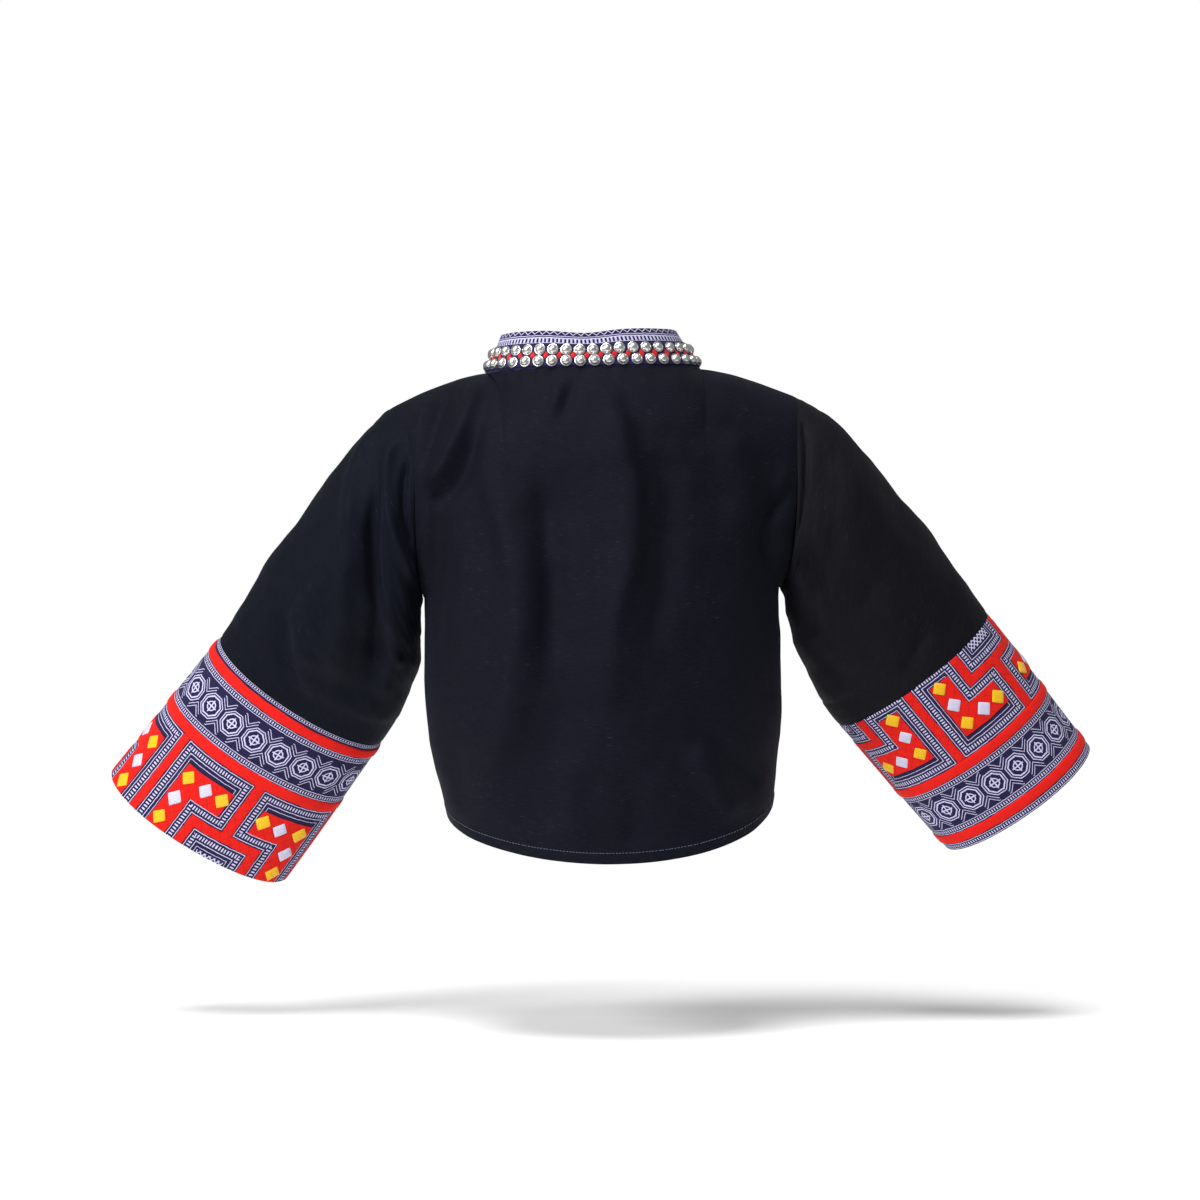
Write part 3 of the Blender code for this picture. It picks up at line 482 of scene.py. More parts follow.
# Small gathers under the back of the collar: where each starts, how long and how deep it is
GATHER_COLUMNS = ("x", "length", "slant", "height")
GATHERS = (
    (84, 26, 2, -1.0), (76, 34, 3, 1.1), (68, 24, 1, -0.9), (60, 40, 4, 1.2),
    (52, 28, 2, -1.3), (44, 46, 5, 1.3), (36, 30, 1, -1.4), (27, 22, 0, 0.9),
    (10, 36, -3, -1.5), (-3, 50, -6, 1.2), (-13, 30, -3, -1.3), (-23, 26, -2, 0.8),
    (-33, 22, -1, -0.8), (-46, 28, -2, 0.7), (-60, 20, -1, -0.6), (-74, 26, -2, 0.6),
)
GATHER_WIDTH = 3.4

# Soft waves all over the cloth: length, direction in degrees, height and start
WAVES = (
    (118, 12, 0.55, 0.4), (83, 104, 0.42, 1.9), (57, 63, 0.30, 3.1), (41, 148, 0.22, 5.0),
    (29, 84, 0.14, 0.7), (23, 21, 0.10, 2.6), (17, 118, 0.07, 4.2),
)

# Seams and hems
SEAM_GROOVE = 0.7
SEAM_WIDTH = 2.6
HEM_DEPTH = 10
HEM_STEP = 0.35
HEM_STITCH_DEPTH = 0.4
HEM_STITCH_WIDTH = 1.1
EDGE_CALM = 22

# Cuffs, in millimetres. The meander is mirrored about the middle of each of its channels: half of it has
# an upright leg, a bar across and a block between them, and runs from one channel to the next.
CUFF_HEIGHT = 151.0
MEANDER = {
    "half_period": 84.0,
    "channel": 4.0,
    "leg_red": (17.5, 38.0),
    "leg_end": 48.0,
    "block": 56.5,
    "bar_red_end": 68.5,
    "bar_end": 79.3,
    "red_top": 16.0,
    "bar_red_bottom": 38.5,
    "bar_bottom": 48.0,
    "block_top": 55.5,
}
MEANDER_PERIODS = range(-3, 4)
CHANNEL_ARC = {LEFT: 54.5, RIGHT: 129.3}
OCTAGON_ARC = {LEFT: 81.0, RIGHT: 118.8}
APPLIQUE_HEIGHT = 0.85
APPLIQUE_EDGE = 0.72
APPLIQUE_STEP = 2.6
DIAMONDS = (
    (25.6, 25.5, "yellow"), (45.4, 26.0, "white"), (62.7, 25.5, "yellow"),
    (26.4, 45.0, "white"), (25.4, 64.0, "yellow"),
)
OCTAGON_PITCH = 26.3
OCTAGON_MIDDLE = {LEFT: 44.6, RIGHT: 45.7}
OCTAGON_HALF = {LEFT: 17.4, RIGHT: 16.2}
LADDER_STARTS = {LEFT: (-0.4, 18.5, 62.2), RIGHT: (5.0, 22.0, 62.4)}
LADDER_TOP = {LEFT: 999.0, RIGHT: 82.0}
FRONT_BAND_WIDTH = 50.0
DIAMOND_HALF = 7.5
DIAMOND_RISE = 0.75
DIAMOND_FOOT = APPLIQUE_HEIGHT * 0.8
DIAMOND_MARGINS = (9, 7)
DIAMOND_CORNERS = 24
DIAMOND_CORNER_REACH = 0.965
DIAMOND_RINGS = ((1.0, 0.0), (0.97, 0.55), (0.86, 0.95), (0.62, 1.25), (0.3, 1.38), (0.0, 1.42))
DESIGN_SHIFT = 4.7
MEANDER_START = 78.4
MEANDER_DEPTH = {LEFT: 72.3, RIGHT: 76.8}
LEG_TOP = {LEFT: 200.0, RIGHT: 68.5}
CUFF_BREAK_ARC = 313

# How far the left cuff's seam and bands ride up the sleeve, in rows and as a share of the cuff's height
SEAM_RISE = {LEFT: 0.05, RIGHT: 0.0}
BAND_RISE = {LEFT: 0.033, RIGHT: 0.0}
STRIP_PLACES = {
    LEFT: {"upper": (8.8, 18.1), "lower": (69.0, 78.4)},
    RIGHT: {"upper": (77.3, 86.4), "lower": (134.1, 143.5)},
}
STRIP_SHELL = 0.05
STRIP_PROFILE = (
    (0.0, 0.1), (0.03, 0.75), (0.09, 1.0), (0.2, 1.12), (0.35, 1.16), (0.5, 1.18),
    (0.65, 1.16), (0.8, 1.12), (0.91, 1.0), (0.97, 0.75), (1.0, 0.1),
)
STITCH_PITCH = 3.0
UNDERARM_DEGREE = 184

# Collar, in millimetres
COLLAR_FOOT = -1.8
TAPE_OFF = SEAM_GAP + STRIP_CLOTH
STUD_PITCH = 12.15
STUD_START = 2.1
STUD_MARGIN = STUD_DIAMETER / 2 + 1
STUD_CORNERS = 20
STUD_BOWL_RINGS = 8
STUD_RIM_EDGE = 0.35
STUD_RIM_HEIGHT = 0.55
STUD_RIM_INNER = 0.9
STUD_BOWL = 0.86
STUD_FULLNESS = 0.95
STUD_DRIFT = 0.18
STUD_LEAN = 0.07
RHOMB_HEIGHT = 10.65
RHOMB_HALF = (2.6, 3.6)
RHOMB_RINGS = ((1.0, 0.05), (0.7, 0.5), (0.0, 0.65))
RHOMB_MARGIN = 6

# Hem stitches: the rings of one, along its length, and the corners of a ring
THREAD_RINGS = ((0.0, 0.35), (0.2, 1.0), (0.8, 1.0), (1.0, 0.35))
THREAD_CORNERS = ((1, 0), (0, 1), (-1, 0), (0, -0.6))
THREAD_RADIUS = 0.17
THREAD_PITCH = 2.9
THREAD_LENGTH = 1.9
THREAD_LIFT = 0.08

# Grid sizes
BODY_ROWS_COUNT = 190
UNDERLAP_NECK_ANGLE = 72
HALVINGS = 40
SLEEVE_COLUMNS_COUNT = 210
SLEEVE_ROWS_COUNT = 160
CUFF_COLUMNS_COUNT = 240
CUFF_ROWS_COUNT = 70
STRIP_COLUMNS_COUNT = 620
COLLAR_COLUMNS_COUNT = 420
COLLAR_ROWS_COUNT = 26
TAPE_ROWS_COUNT = 14

CHANCES = np.random.default_rng(31)


# Cloth grids

def walked(grid, axis):
    """Distance walked along one axis of a grid of points, from its first point."""
    steps = np.linalg.norm(np.diff(grid, axis=axis), axis=-1)
    start = np.zeros_like(np.take(steps, [0], axis=axis))
    return np.concatenate([start, np.cumsum(steps, axis=axis)], axis=axis)


def grid_normals(grid, outward, closed=False):
    """Outward direction at each point of a grid."""
    if closed:
        across = np.roll(grid, -1, axis=1) - np.roll(grid, 1, axis=1)
    else:
        across = np.gradient(grid, axis=1)
    return unit(outward * np.cross(across, np.gradient(grid, axis=0)))


def crease_line(points):
    """Even points on a smooth curve through a crease's own points."""
    columns = np.array(points, dtype=float)
    share = np.linspace(0, len(columns) - 1, CREASE_SAMPLES)
    return np.stack([smooth(columns[:, 0], share), smooth(columns[:, 1], share)], axis=-1)


def crease_lift(across, up, line, left_width, right_width, height):
    """How far one crease lifts the cloth at places given by two lengths."""
    nearest = np.full(across.shape, np.inf)
    share = np.zeros(across.shape)
    side = np.ones(across.shape)
    for index in range(len(line) - 1):
        start = line[index]
        along = line[index + 1] - start
        length = float(along @ along)
        off_x = across - start[0]
        off_y = up - start[1]
        t = np.clip((off_x * along[0] + off_y * along[1]) / length, 0, 1)
        distance = np.hypot(off_x - t * along[0], off_y - t * along[1])
        closer = distance < nearest
        nearest = np.where(closer, distance, nearest)
        share = np.where(closer, (index + t) / (len(line) - 1), share)
        side = np.where(closer, np.sign(along[0] * off_y - along[1] * off_x), side)
    width = np.where(side > 0, left_width, right_width)
    fade = ease(share, 0.0, 0.22) * (1 - ease(share, 0.74, 1.0)) * 0.9 + 0.1
    return height * fade * np.exp(-((nearest / width) ** 2))


def wave_lift(across, up):
    """Soft uneven waves of a worn cloth."""
    lift = np.zeros(np.broadcast_shapes(across.shape, up.shape))
    for length, direction, height, start in WAVES:
        angle = math.radians(direction)
        walk = across * math.cos(angle) + up * math.sin(angle)
        lift = lift + height * np.sin(walk * 2 * math.pi / length + start)
    return lift


def groove(distance):
    """The dip of a sewn edge."""
    return -SEAM_GROOVE * np.exp(-((distance / SEAM_WIDTH) ** 2))


def write_cut(mesh, cut):
    """Store the place of each point on its flat piece of cloth."""
    layer = mesh.attributes.new("cut", "FLOAT_VECTOR", "POINT")
    layer.data.foreach_set("vector", np.asarray(cut, dtype=np.float32).ravel())


def new_piece(name, points, faces, cut, materials, slots=None, smooth_angle=50):
    """Make a named mesh object, in metres, from points in millimetres."""
    mesh = bpy.data.meshes.new(name)
    mesh.from_pydata((np.asarray(points) * MM).tolist(), [], faces)
    write_cut(mesh, cut)
    for material in materials:
        mesh.materials.append(material)
    if slots is not None:
        mesh.polygons.foreach_set("material_index", np.asarray(slots, dtype=np.int32))
    mesh.shade_smooth()
    mesh.set_sharp_from_angle(angle=math.radians(smooth_angle))
    mesh.update()
    piece = bpy.data.objects.new(name, mesh)
    bpy.context.scene.collection.objects.link(piece)
    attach(piece, BODY_NAME)
    return piece


def shell_faces(rows, columns, closed, outward):
    """Faces of a thin closed shell: the outer face, the inner face and the rim."""
    r = np.arange(rows - 1)[:, None]
    c = np.arange(columns if closed else columns - 1)[None, :]
    c2 = (c + 1) % columns
    a, b = r * columns + c, r * columns + c2
    d, e = a + columns, b + columns
    count = rows * columns
    outer = np.stack([a, b, e, d], axis=-1).reshape(-1, 4)
    inner = np.stack([d, e, b, a], axis=-1).reshape(-1, 4) + count
    rims = []
    for start, end in ((b[0], a[0]), (d[-1], e[-1])):
        rims.append(np.stack([start, end, end + count, start + count], axis=-1))
    if not closed:
        first_low, first_high = a[:, 0], d[:, 0]
        last_low, last_high = b[:, -1], e[:, -1]
        rims.append(np.stack([first_low, first_high, first_high + count, first_low + count], axis=-1))
        rims.append(np.stack([last_high, last_low, last_low + count, last_high + count], axis=-1))
    rim = np.concatenate(rims)
    faces = np.concatenate([outer, inner, rim])
    if outward < 0:
        faces = faces[:, ::-1]
    slots = np.concatenate([np.zeros(len(outer)), np.ones(len(inner) + len(rim))])
    return faces.tolist(), slots


def ring_faces(first, corners, rings, tip=None):
    """Faces between rings of points that follow each other, and round to a tip where there is one."""
    faces = []
    for start in range(first, first + (rings - 1) * corners, corners):
        for k in range(corners):
            a, b = start + k, start + (k + 1) % corners
            faces.append((a, b, b + corners, a + corners))
    if tip is not None:
        last = first + (rings - 1) * corners
        faces += [(last + k, last + (k + 1) % corners, tip) for k in range(corners)]
    return faces


def shell(name, grid, normals, thickness, cut, material, lining, outward, closed=False):
    """A thin shell of cloth behind a grid of outer points."""
    faces, slots = shell_faces(*grid.shape[:2], closed, outward)
    inner = grid - normals * thickness
    points = np.concatenate([grid.reshape(-1, 3), inner.reshape(-1, 3)])
    flat = np.asarray(cut).reshape(-1, 3)
    both = np.concatenate([flat, flat])
    return new_piece(name, points, faces, both, [material, lining], slots)


# Body panels

def neck_turns(angles):
    """Turns of the points that stand at these angles round the neck."""
    cosine = np.cos(angles)
    share = np.sign(cosine) * np.abs(cosine) ** (2 / NECK_SQUARENESS)
    return (1 - NECK_SHARE * share) * math.pi / 2


def crossing_turns(rows, start, end):
    """Where a slanting line over the front crosses each height row."""
    low = np.zeros_like(rows)
    high = np.full_like(rows, math.pi)
    for _ in range(HALVINGS):
        middle = (low + high) / 2
        point = body(FRONT, middle, rows)
        above = point[:, 2] > along_line(start, end, point[:, 0])
        high = np.where(above, middle, high)
        low = np.where(above, low, middle)
    return (low + high) / 2


def free_edge_turns(rows):
    """Turns of the overlap's free edge: down to the side seam, then along it."""
    turns = crossing_turns(rows, (0.0, NECK_FRONT_Z), FREE_EDGE_LOW)
    turns = np.where(rows <= CHEST_ROW + 0.5, math.pi, turns)
    return np.where(rows >= TOP_ROW - SMALL, math.pi / 2, turns)


def band_edge_turns(rows):
    """Turns of the batik band's inner edge: down to the side seam, then along it."""
    top_turn = float(neck_turns(math.radians(BAND_NECK_ANGLE)))
    top = body(FRONT, top_turn, TOP_ROW)
    turns = np.minimum(crossing_turns(rows, (top[0], top[2]), BAND_EDGE_LOW), math.pi - EDGE_MARGIN)
    turns = np.where(rows < WAIST_ROW, math.pi, turns)
    return np.where(rows >= TOP_ROW - SMALL, top_turn, turns)


def underlap_turns(rows):
    """Turns of the underlap's hidden edge."""
    start = (0.0, NECK_FRONT_Z - UNDERLAP_DROP)
    end = (FREE_EDGE_LOW[0], FREE_EDGE_LOW[1] - UNDERLAP_DROP)
    return crossing_turns(rows, start, end)


def panel_rows(lowest, count):
    """Even height rows of a body panel, up to the shoulder and neck line."""
    return np.linspace(lowest, TOP_ROW, count)


def spread_turns(rows, ends, top_turns):
    """Turns of every column: even up to the armpit, then drawn to the neck's corners at the top."""
    even = np.linspace(0, 1, len(top_turns))
    gather = ease(rows, ARMPIT_ROW, TOP_ROW)[:, None]
    shares = mix(even[None, :], (top_turns / top_turns[-1])[None, :], gather)
    return shares * ends[:, None]


def body_lift(side, x, z):
    """All the listed creases of one side of the body."""
    lift = np.zeros_like(x)
    for values in BODY_CREASES.values():
        crease = dict(zip(CREASE_COLUMNS, values))
        if crease["side"] != side:
            continue
        line = crease_line(crease["line"])
        lift = lift + crease_lift(x, z, line, crease["left_width"], crease["right_width"], crease["height"])
    return lift * BODY_CREASE_STRENGTH


def gather_lift(x, drop):
    """The small gathers under the collar, by their distance below it."""
    lift = np.zeros_like(x)
    for values in GATHERS:
        gather = dict(zip(GATHER_COLUMNS, values))
        share = drop / gather["length"]
        line_x = gather["x"] + gather["slant"] * share
        fade = np.clip(1 - share, 0, 1) ** 1.5 * ease(drop, 0, 4)
        lift = lift + gather["height"] * fade * np.exp(-(((x - line_x) / GATHER_WIDTH) ** 2))
    return lift * GATHER_STRENGTH


def sew_panel(name, side, rows, turns, material, lining, grooves, hem=True, sink=None, gathers=False):
    """Make one panel of the body, with its creases, its sewn edges and its hem."""
    base = body(side, turns, rows[:, None])
    outward = 1 if turns[0, -1] > turns[0, 0] or turns[-1, -1] > turns[-1, 0] else -1
    outward = outward * side
    normals = grid_normals(base, outward)
    along = walked(base, 1)
    up = walked(base, 0)
    across = along - along[:, [along.shape[1] // 2]]
    x, z = base[..., 0], base[..., 2]
    lift = body_lift(side, x, z) + wave_lift(x, z)
    keep = ease(along, 0, EDGE_CALM) * ease(along[:, [-1]] - along, 0, EDGE_CALM)
    lift = lift * mix(1.0, keep, 0.85)
    lift = lift * mix(0.25, 1.0, ease(up[[-1], :] - up, 0, 16))
    if gathers:
        lift = lift + gather_lift(x, up[[-1], :] - up)
    if "first" in grooves:
        lift = lift + groove(along)
    if "last" in grooves:
        lift = lift + groove(along[:, [-1]] - along)
    if "top" in grooves:
        lift = lift + groove(up[[-1], :] - up) * ease(np.abs(x), NECK_HALF, NECK_HALF + 6)
    if hem:
        step = HEM_STEP * (1 - ease(up, HEM_DEPTH - 1, HEM_DEPTH + 1.5))
        lift = lift + step - HEM_STITCH_DEPTH * np.exp(-(((up - HEM_DEPTH) / HEM_STITCH_WIDTH) ** 2))
    if sink is not None:
        lift = lift - sink(base)
    grid = base + normals * lift[..., None]
    normals = grid_normals(grid, outward)
    cut = np.stack([across, up, np.zeros_like(up)], axis=-1)
    place = np.argmin(np.abs(up[:, up.shape[1] // 2] - HEM_DEPTH))
    return shell(name, grid, normals, LINEN, cut, material, lining, outward), (grid[place], normals[place])


# Sleeves and cuffs

def sleeve_creases(hand, angle, row):
    """The listed creases of a sleeve."""
    lift = np.zeros_like(angle)
    across = np.degrees(angle) * SLEEVE_DEGREE_LENGTH
    for values in SLEEVE_CREASES[hand].values():
        crease = dict(zip(SLEEVE_CREASE_COLUMNS, values))
        line = crease_line([(degree, place) for place, degree in crease["line"]])
        line = line * (SLEEVE_DEGREE_LENGTH, SLEEVE_ROW_LENGTH)
        lift = lift + crease_lift(
            across, row * SLEEVE_ROW_LENGTH, line,
            crease["left_width"], crease["right_width"], crease["height"],
        )
    return lift * SLEEVE_CREASE_STRENGTH


def arc_table(hand):
    """Angles and distances round a cuff's middle, from its outer line."""
    angles = np.linspace(0, 2 * math.pi - 1e-9, 1441)
    ring = sleeve(hand, angles, np.full_like(angles, CUFF_SEAM_ROW + 0.5))
    return angles, walked(ring[None], 1)[0]


ARC_TABLES = {hand: arc_table(hand) for hand in (LEFT, RIGHT)}


def cuff_lift(hand, arc, down):
    """Soft waves of a cuff, which is stiff with its stitching."""
    around = 2 * math.pi * arc / ARC_TABLES[hand][1][-1]
    lift = 0.5 * np.sin(2 * around + hand)
    lift = lift + 0.35 * np.sin(4 * around + down / 40) + 0.25 * np.sin(down / 23 - around)
    return lift * ease(down, 0, 14) - 0.5 * np.exp(-((down / 2.2) ** 2))


def cuff(hand, arc, down, stand_off):
    """Points of a cuff, by distance round it and down it, a little way off its cloth."""
    angles, arcs = ARC_TABLES[hand]
    arc, down = np.broadcast_arrays(np.asarray(arc, float), np.asarray(down, float))
    angle = np.interp(np.mod(arc, arcs[-1]), arcs, angles)
    share = np.clip(down, 0, CUFF_HEIGHT) / CUFF_HEIGHT
    share = share - BAND_RISE[hand] * np.sin(math.pi * share)
    row = mix(CUFF_SEAM_ROW - SEAM_RISE[hand], float(OPENING_ROW), share)
    point = sleeve(hand, angle, row)
    normal = sleeve_normal(hand, angle, row)
    return point + normal * (cuff_lift(hand, arc, down) + stand_off)[..., None], normal


def cuff_design(hand, down):
    """Turn height down the cuff into height in its design, or back: the right cuff's is upside down."""
    return down if hand == LEFT else CUFF_HEIGHT + DESIGN_SHIFT - down


def cuff_cut(hand, arc, down):
    """Place on the cuff's flat cloth: distance round from a channel of the meander, and design height."""
    arc, down = np.broadcast_arrays(np.asarray(arc, float), np.asarray(down, float))
    return np.stack([arc - CHANNEL_ARC[hand], cuff_design(hand, down), np.zeros_like(arc)], axis=-1)


def sew_sleeve(hand, linen, lining):
    """Make one sleeve, with its creases."""
    angles = np.linspace(0, 2 * math.pi, SLEEVE_COLUMNS_COUNT, endpoint=False)[None, :]
    rows = np.linspace(0, CUFF_SEAM_ROW - SEAM_RISE[hand], SLEEVE_ROWS_COUNT)[:, None]
    base = sleeve(hand, angles, rows)
    outward = -hand
    normals = grid_normals(base, outward, closed=True)
    angle, row = np.broadcast_arrays(angles, rows)
    down = walked(base, 0)
    around = np.degrees(angle) * SLEEVE_DEGREE_LENGTH
    creases = sleeve_creases(hand, angle, row) + wave_lift(around, row * SLEEVE_ROW_LENGTH)
    fade = ease(down, 0, 9) * mix(0.35, 1.0, ease(down[-1] - down, 0, 22))
    seam = groove(down) + groove(down[-1] - down)
    under = groove((np.degrees(angle) - UNDERARM_DEGREE) * SLEEVE_DEGREE_LENGTH)
    grid = base + normals * (creases * fade + seam + under)[..., None]
    normals = grid_normals(grid, outward, closed=True)
    cut = np.stack([around, -down, np.zeros_like(down)], axis=-1)
    name = "sleeve_" + SIDE_NAMES[hand]
    piece = shell(name + "_cloth", grid, normals, LINEN, cut, linen, lining, outward, closed=True)
    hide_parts(name)
    return piece


def sew_cuff(hand, batik, lining):
    """Make one cuff's own cloth."""
    arcs = ARC_TABLES[hand][1]
    arc = np.linspace(0, arcs[-1], CUFF_COLUMNS_COUNT, endpoint=False)[None, :]
    down = np.linspace(0, CUFF_HEIGHT, CUFF_ROWS_COUNT)[:, None]
    grid, _ = cuff(hand, arc, down, np.zeros(1))
    outward = -hand
    normals = grid_normals(grid, outward, closed=True)
    name = "cuff_" + SIDE_NAMES[hand]
    cut = cuff_cut(hand, arc - np.where(arc > CUFF_BREAK_ARC, arcs[-1], 0), down)
    piece = shell(name + "_cloth", grid, normals, CUFF_CLOTH, cut, batik, lining, outward, closed=True)
    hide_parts(name)
    return piece


def sew_strip(hand, place, red):
    """Make one red strip, puckered at its stitches."""
    arcs = ARC_TABLES[hand][1]
    start, end = STRIP_PLACES[hand][place]
    arc = np.linspace(0, arcs[-1], STRIP_COLUMNS_COUNT, endpoint=False)
    shares, heights = np.array(STRIP_PROFILE).T
    stitch = np.cos(arc * 2 * math.pi / STITCH_PITCH + 1.3 * np.sin(arc / 37))
    edge = np.abs(2 * shares - 1)[:, None]
    height = heights[:, None] * (1 - 0.26 * np.clip(stitch, 0, 1)[None, :] * ease(edge, 0.45, 0.8))
    height = height * (1 + 0.05 * np.sin(arc / 11)[None, :])
    wander = 0.22 * np.sin(arc / 9.7 + start) + 0.16 * np.sin(arc / 4.1) - 0.18 * stitch
    down = start + shares[:, None] * (end - start)
    down = down + np.sign(2 * shares - 1)[:, None] * edge ** 4 * wander[None, :]
    grid, normals = cuff(hand, arc[None, :], down, height)
    name = "strip_" + SIDE_NAMES[hand] + "_" + place
    cut = np.stack(np.broadcast_arrays(arc[None, :], down - start, np.zeros_like(down)), axis=-1)
    piece = shell(name + "_cloth", grid, normals, STRIP_SHELL, cut, red, red, -hand, closed=True)
    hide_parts(name)
    return piece


def meander_mask(x, y, top):
    """Where the red applique lies, by distance from a channel and height above the strip."""
    m = MEANDER
    channel = x < m["channel"]
    stem = (x > m["bar_end"]) & (y < m["bar_bottom"])
    arm = (x > m["leg_end"]) & (y > m["bar_bottom"]) & (y < m["block_top"])
    side = (x > m["leg_end"]) & (x < m["block"]) & (y > m["bar_bottom"])
    bar = (x > m["leg_red"][0]) & (x < m["bar_red_end"]) & (y > m["red_top"]) & (y < m["bar_red_bottom"])
    leg = (x > m["leg_red"][0]) & (x < m["leg_red"][1]) & (y > m["red_top"]) & (y < top)
    return channel | stem | arm | side | bar | leg


def fine_steps(marks, longest):
    """Sorted marks, with steps added between them so that none is longer than the longest."""
    marks = sorted(set(np.round(marks, 4)))
    parts = []
    for low, high in zip(marks[:-1], marks[1:]):
        parts.append(np.linspace(low, high, max(1, math.ceil((high - low) / longest)), endpoint=False))
    return np.concatenate(parts + [[marks[-1]]])


def sew_applique(hand, red):
    """Make the red cloth of a cuff's meander, with its cut edges turned under."""
    arcs = ARC_TABLES[hand][1]
    first, last = CUFF_BREAK_ARC - arcs[-1], CUFF_BREAK_ARC
    m = MEANDER
    edges = [m["channel"], *m["leg_red"], m["leg_end"], m["block"], m["bar_red_end"], m["bar_end"]]
    marks = [first, last]
    for period in MEANDER_PERIODS:
        centre = CHANNEL_ARC[hand] + period * 2 * m["half_period"]
        marks += [centre + sign * edge for edge in edges for sign in (-1, 1)]
    arc = fine_steps([mark for mark in marks if first <= mark <= last], APPLIQUE_STEP)
    deepest = MEANDER_DEPTH[hand]
    top = LEG_TOP[hand]
    heights = [0, m["red_top"], m["bar_red_bottom"], m["bar_bottom"], m["block_top"]]
    heights += [min(top, deepest), deepest]
    y = fine_steps(heights, APPLIQUE_STEP)
    middle_arc = (arc[1:] + arc[:-1]) / 2
    middle_y = (y[1:] + y[:-1]) / 2
    from_channel = middle_arc - CHANNEL_ARC[hand]
    x = np.abs((from_channel + m["half_period"]) % (2 * m["half_period"]) - m["half_period"])
    filled = meander_mask(x[None, :], middle_y[:, None], top)

    down = cuff_design(hand, y + MEANDER_START)
    arc_grid, down_grid = np.meshgrid(arc, down)
    wobble_arc = 0.22 * np.sin(down_grid / 5.3 + arc_grid / 41) + 0.12 * np.sin(down_grid / 2.4)
    wobble_down = 0.22 * np.sin(arc_grid / 6.1) + 0.12 * np.sin(arc_grid / 2.7 + 1)
    edge_fade = ease(y, 0, 4)[:, None] * ease(deepest - y, 0, 4)[:, None]
    arc_grid = arc_grid + wobble_arc
    down_grid = down_grid + wobble_down * edge_fade
    filled_pad = np.pad(filled, 1)
    corner_count = (
        filled_pad[:-1, :-1].astype(int) + filled_pad[1:, :-1] + filled_pad[:-1, 1:] + filled_pad[1:, 1:]
    )
    height = np.where(corner_count == 4, APPLIQUE_HEIGHT, APPLIQUE_HEIGHT * APPLIQUE_EDGE)
    ripple = 0.07 * np.sin(arc_grid * 1.05) * np.sin(down_grid * 0.93)
    upper, _ = cuff(hand, arc_grid, down_grid, height + ripple)
    lower, _ = cuff(hand, arc_grid, down_grid, 0.02 + 0 * height)
    used = corner_count > 0
    index = np.full(used.shape, -1)
    index[used] = np.arange(used.sum())
    count = int(used.sum())
    points = np.concatenate([upper[used], lower[used]])
    cut_one = cuff_cut(hand, arc_grid, down_grid)[used]
    faces = []
    rows, columns = filled.shape
    for row in range(rows):
        for column in range(columns):
            if not filled[row, column]:
                continue
            a, b = index[row, column], index[row, column + 1]
            d, e = index[row + 1, column], index[row + 1, column + 1]
            faces.append((a, b, e, d))
            if not filled_pad[row, column + 1]:
                faces.append((b, a, a + count, b + count))
            if not filled_pad[row + 2, column + 1]:
                faces.append((d, e, e + count, d + count))
            if not filled_pad[row + 1, column]:
                faces.append((a, d, d + count, a + count))
            if not filled_pad[row + 1, column + 2]:
                faces.append((e, b, b + count, e + count))
    faces = [face[::-1] for face in faces]
    name = "applique_" + SIDE_NAMES[hand]
    return new_piece(name, points, faces, np.concatenate([cut_one, cut_one]), [red])


def diamond_places(hand):
    """Centre and colour of each diamond sewn on a cuff's red fields."""
    arcs = ARC_TABLES[hand][1]
    side, end = DIAMOND_MARGINS
    first, last = CUFF_BREAK_ARC - arcs[-1] + side, CUFF_BREAK_ARC - side
    places = []
    for period in MEANDER_PERIODS:
        centre = CHANNEL_ARC[hand] + period * 2 * MEANDER["half_period"]
        for x, y, colour in DIAMONDS:
            for sign in (-1, 1):
                arc = centre + sign * x
                if first < arc < last and y < MEANDER_DEPTH[hand] - end:
                    places.append((arc, y, colour))
    return places


def sew_diamonds(hand, colour, cloth):
    """Make all the diamonds of one colour on one cuff: padded squares of satin stitch, on their corner."""
    points, faces, cuts = [], [], []
    angle = np.linspace(0, 2 * math.pi, DIAMOND_CORNERS, endpoint=False)
    square = np.minimum(1 / (np.abs(np.cos(angle)) + np.abs(np.sin(angle))), DIAMOND_CORNER_REACH)
    for arc, y, own in diamond_places(hand):
        if own != colour:
            continue
        half = DIAMOND_HALF * (1 + CHANCES.uniform(-0.05, 0.05))
        tilt = CHANCES.uniform(-0.06, 0.06)
        start = len(points)
        for size, rise in DIAMOND_RINGS:
            count = DIAMOND_CORNERS if size > 0 else 1
            off_x = half * square[:count] * size * np.cos(angle[:count] + tilt)
            off_y = half * square[:count] * size * np.sin(angle[:count] + tilt)
            down = cuff_design(hand, y + off_y + MEANDER_START)
            ring, _ = cuff(hand, arc + off_x, down, DIAMOND_FOOT + rise * DIAMOND_RISE + 0 * off_x)
            points.extend(ring)
            cuts.extend(np.stack([off_x, off_y, 0 * off_x], axis=-1))
        faces += ring_faces(start, DIAMOND_CORNERS, len(DIAMOND_RINGS) - 1, tip=len(points) - 1)
    faces = [face[::-1] for face in faces]
    name = "diamonds_" + colour + "_" + SIDE_NAMES[hand]
    return new_piece(name, points, faces, cuts, [cloth])


# Collar

def collar_ends():
    """Angles of the collar's two ends, either side of its slit at the front."""
    half_slit = math.asin((COLLAR_HALF_SLIT / NECK_HALF) ** (NECK_SQUARENESS / 2))
    return -math.pi / 2 + half_slit, 3 * math.pi / 2 - half_slit


def collar_arc_table():
    """Angles and distances along the collar, from the middle of its back."""
    first, last = collar_ends()
    angles = np.linspace(first, last, 2401)
    arcs = walked(collar(angles, 10.0)[None], 1)[0]
    middle = np.interp(math.pi / 2, angles, arcs)
    return angles, arcs - middle


COLLAR_TABLE = collar_arc_table()


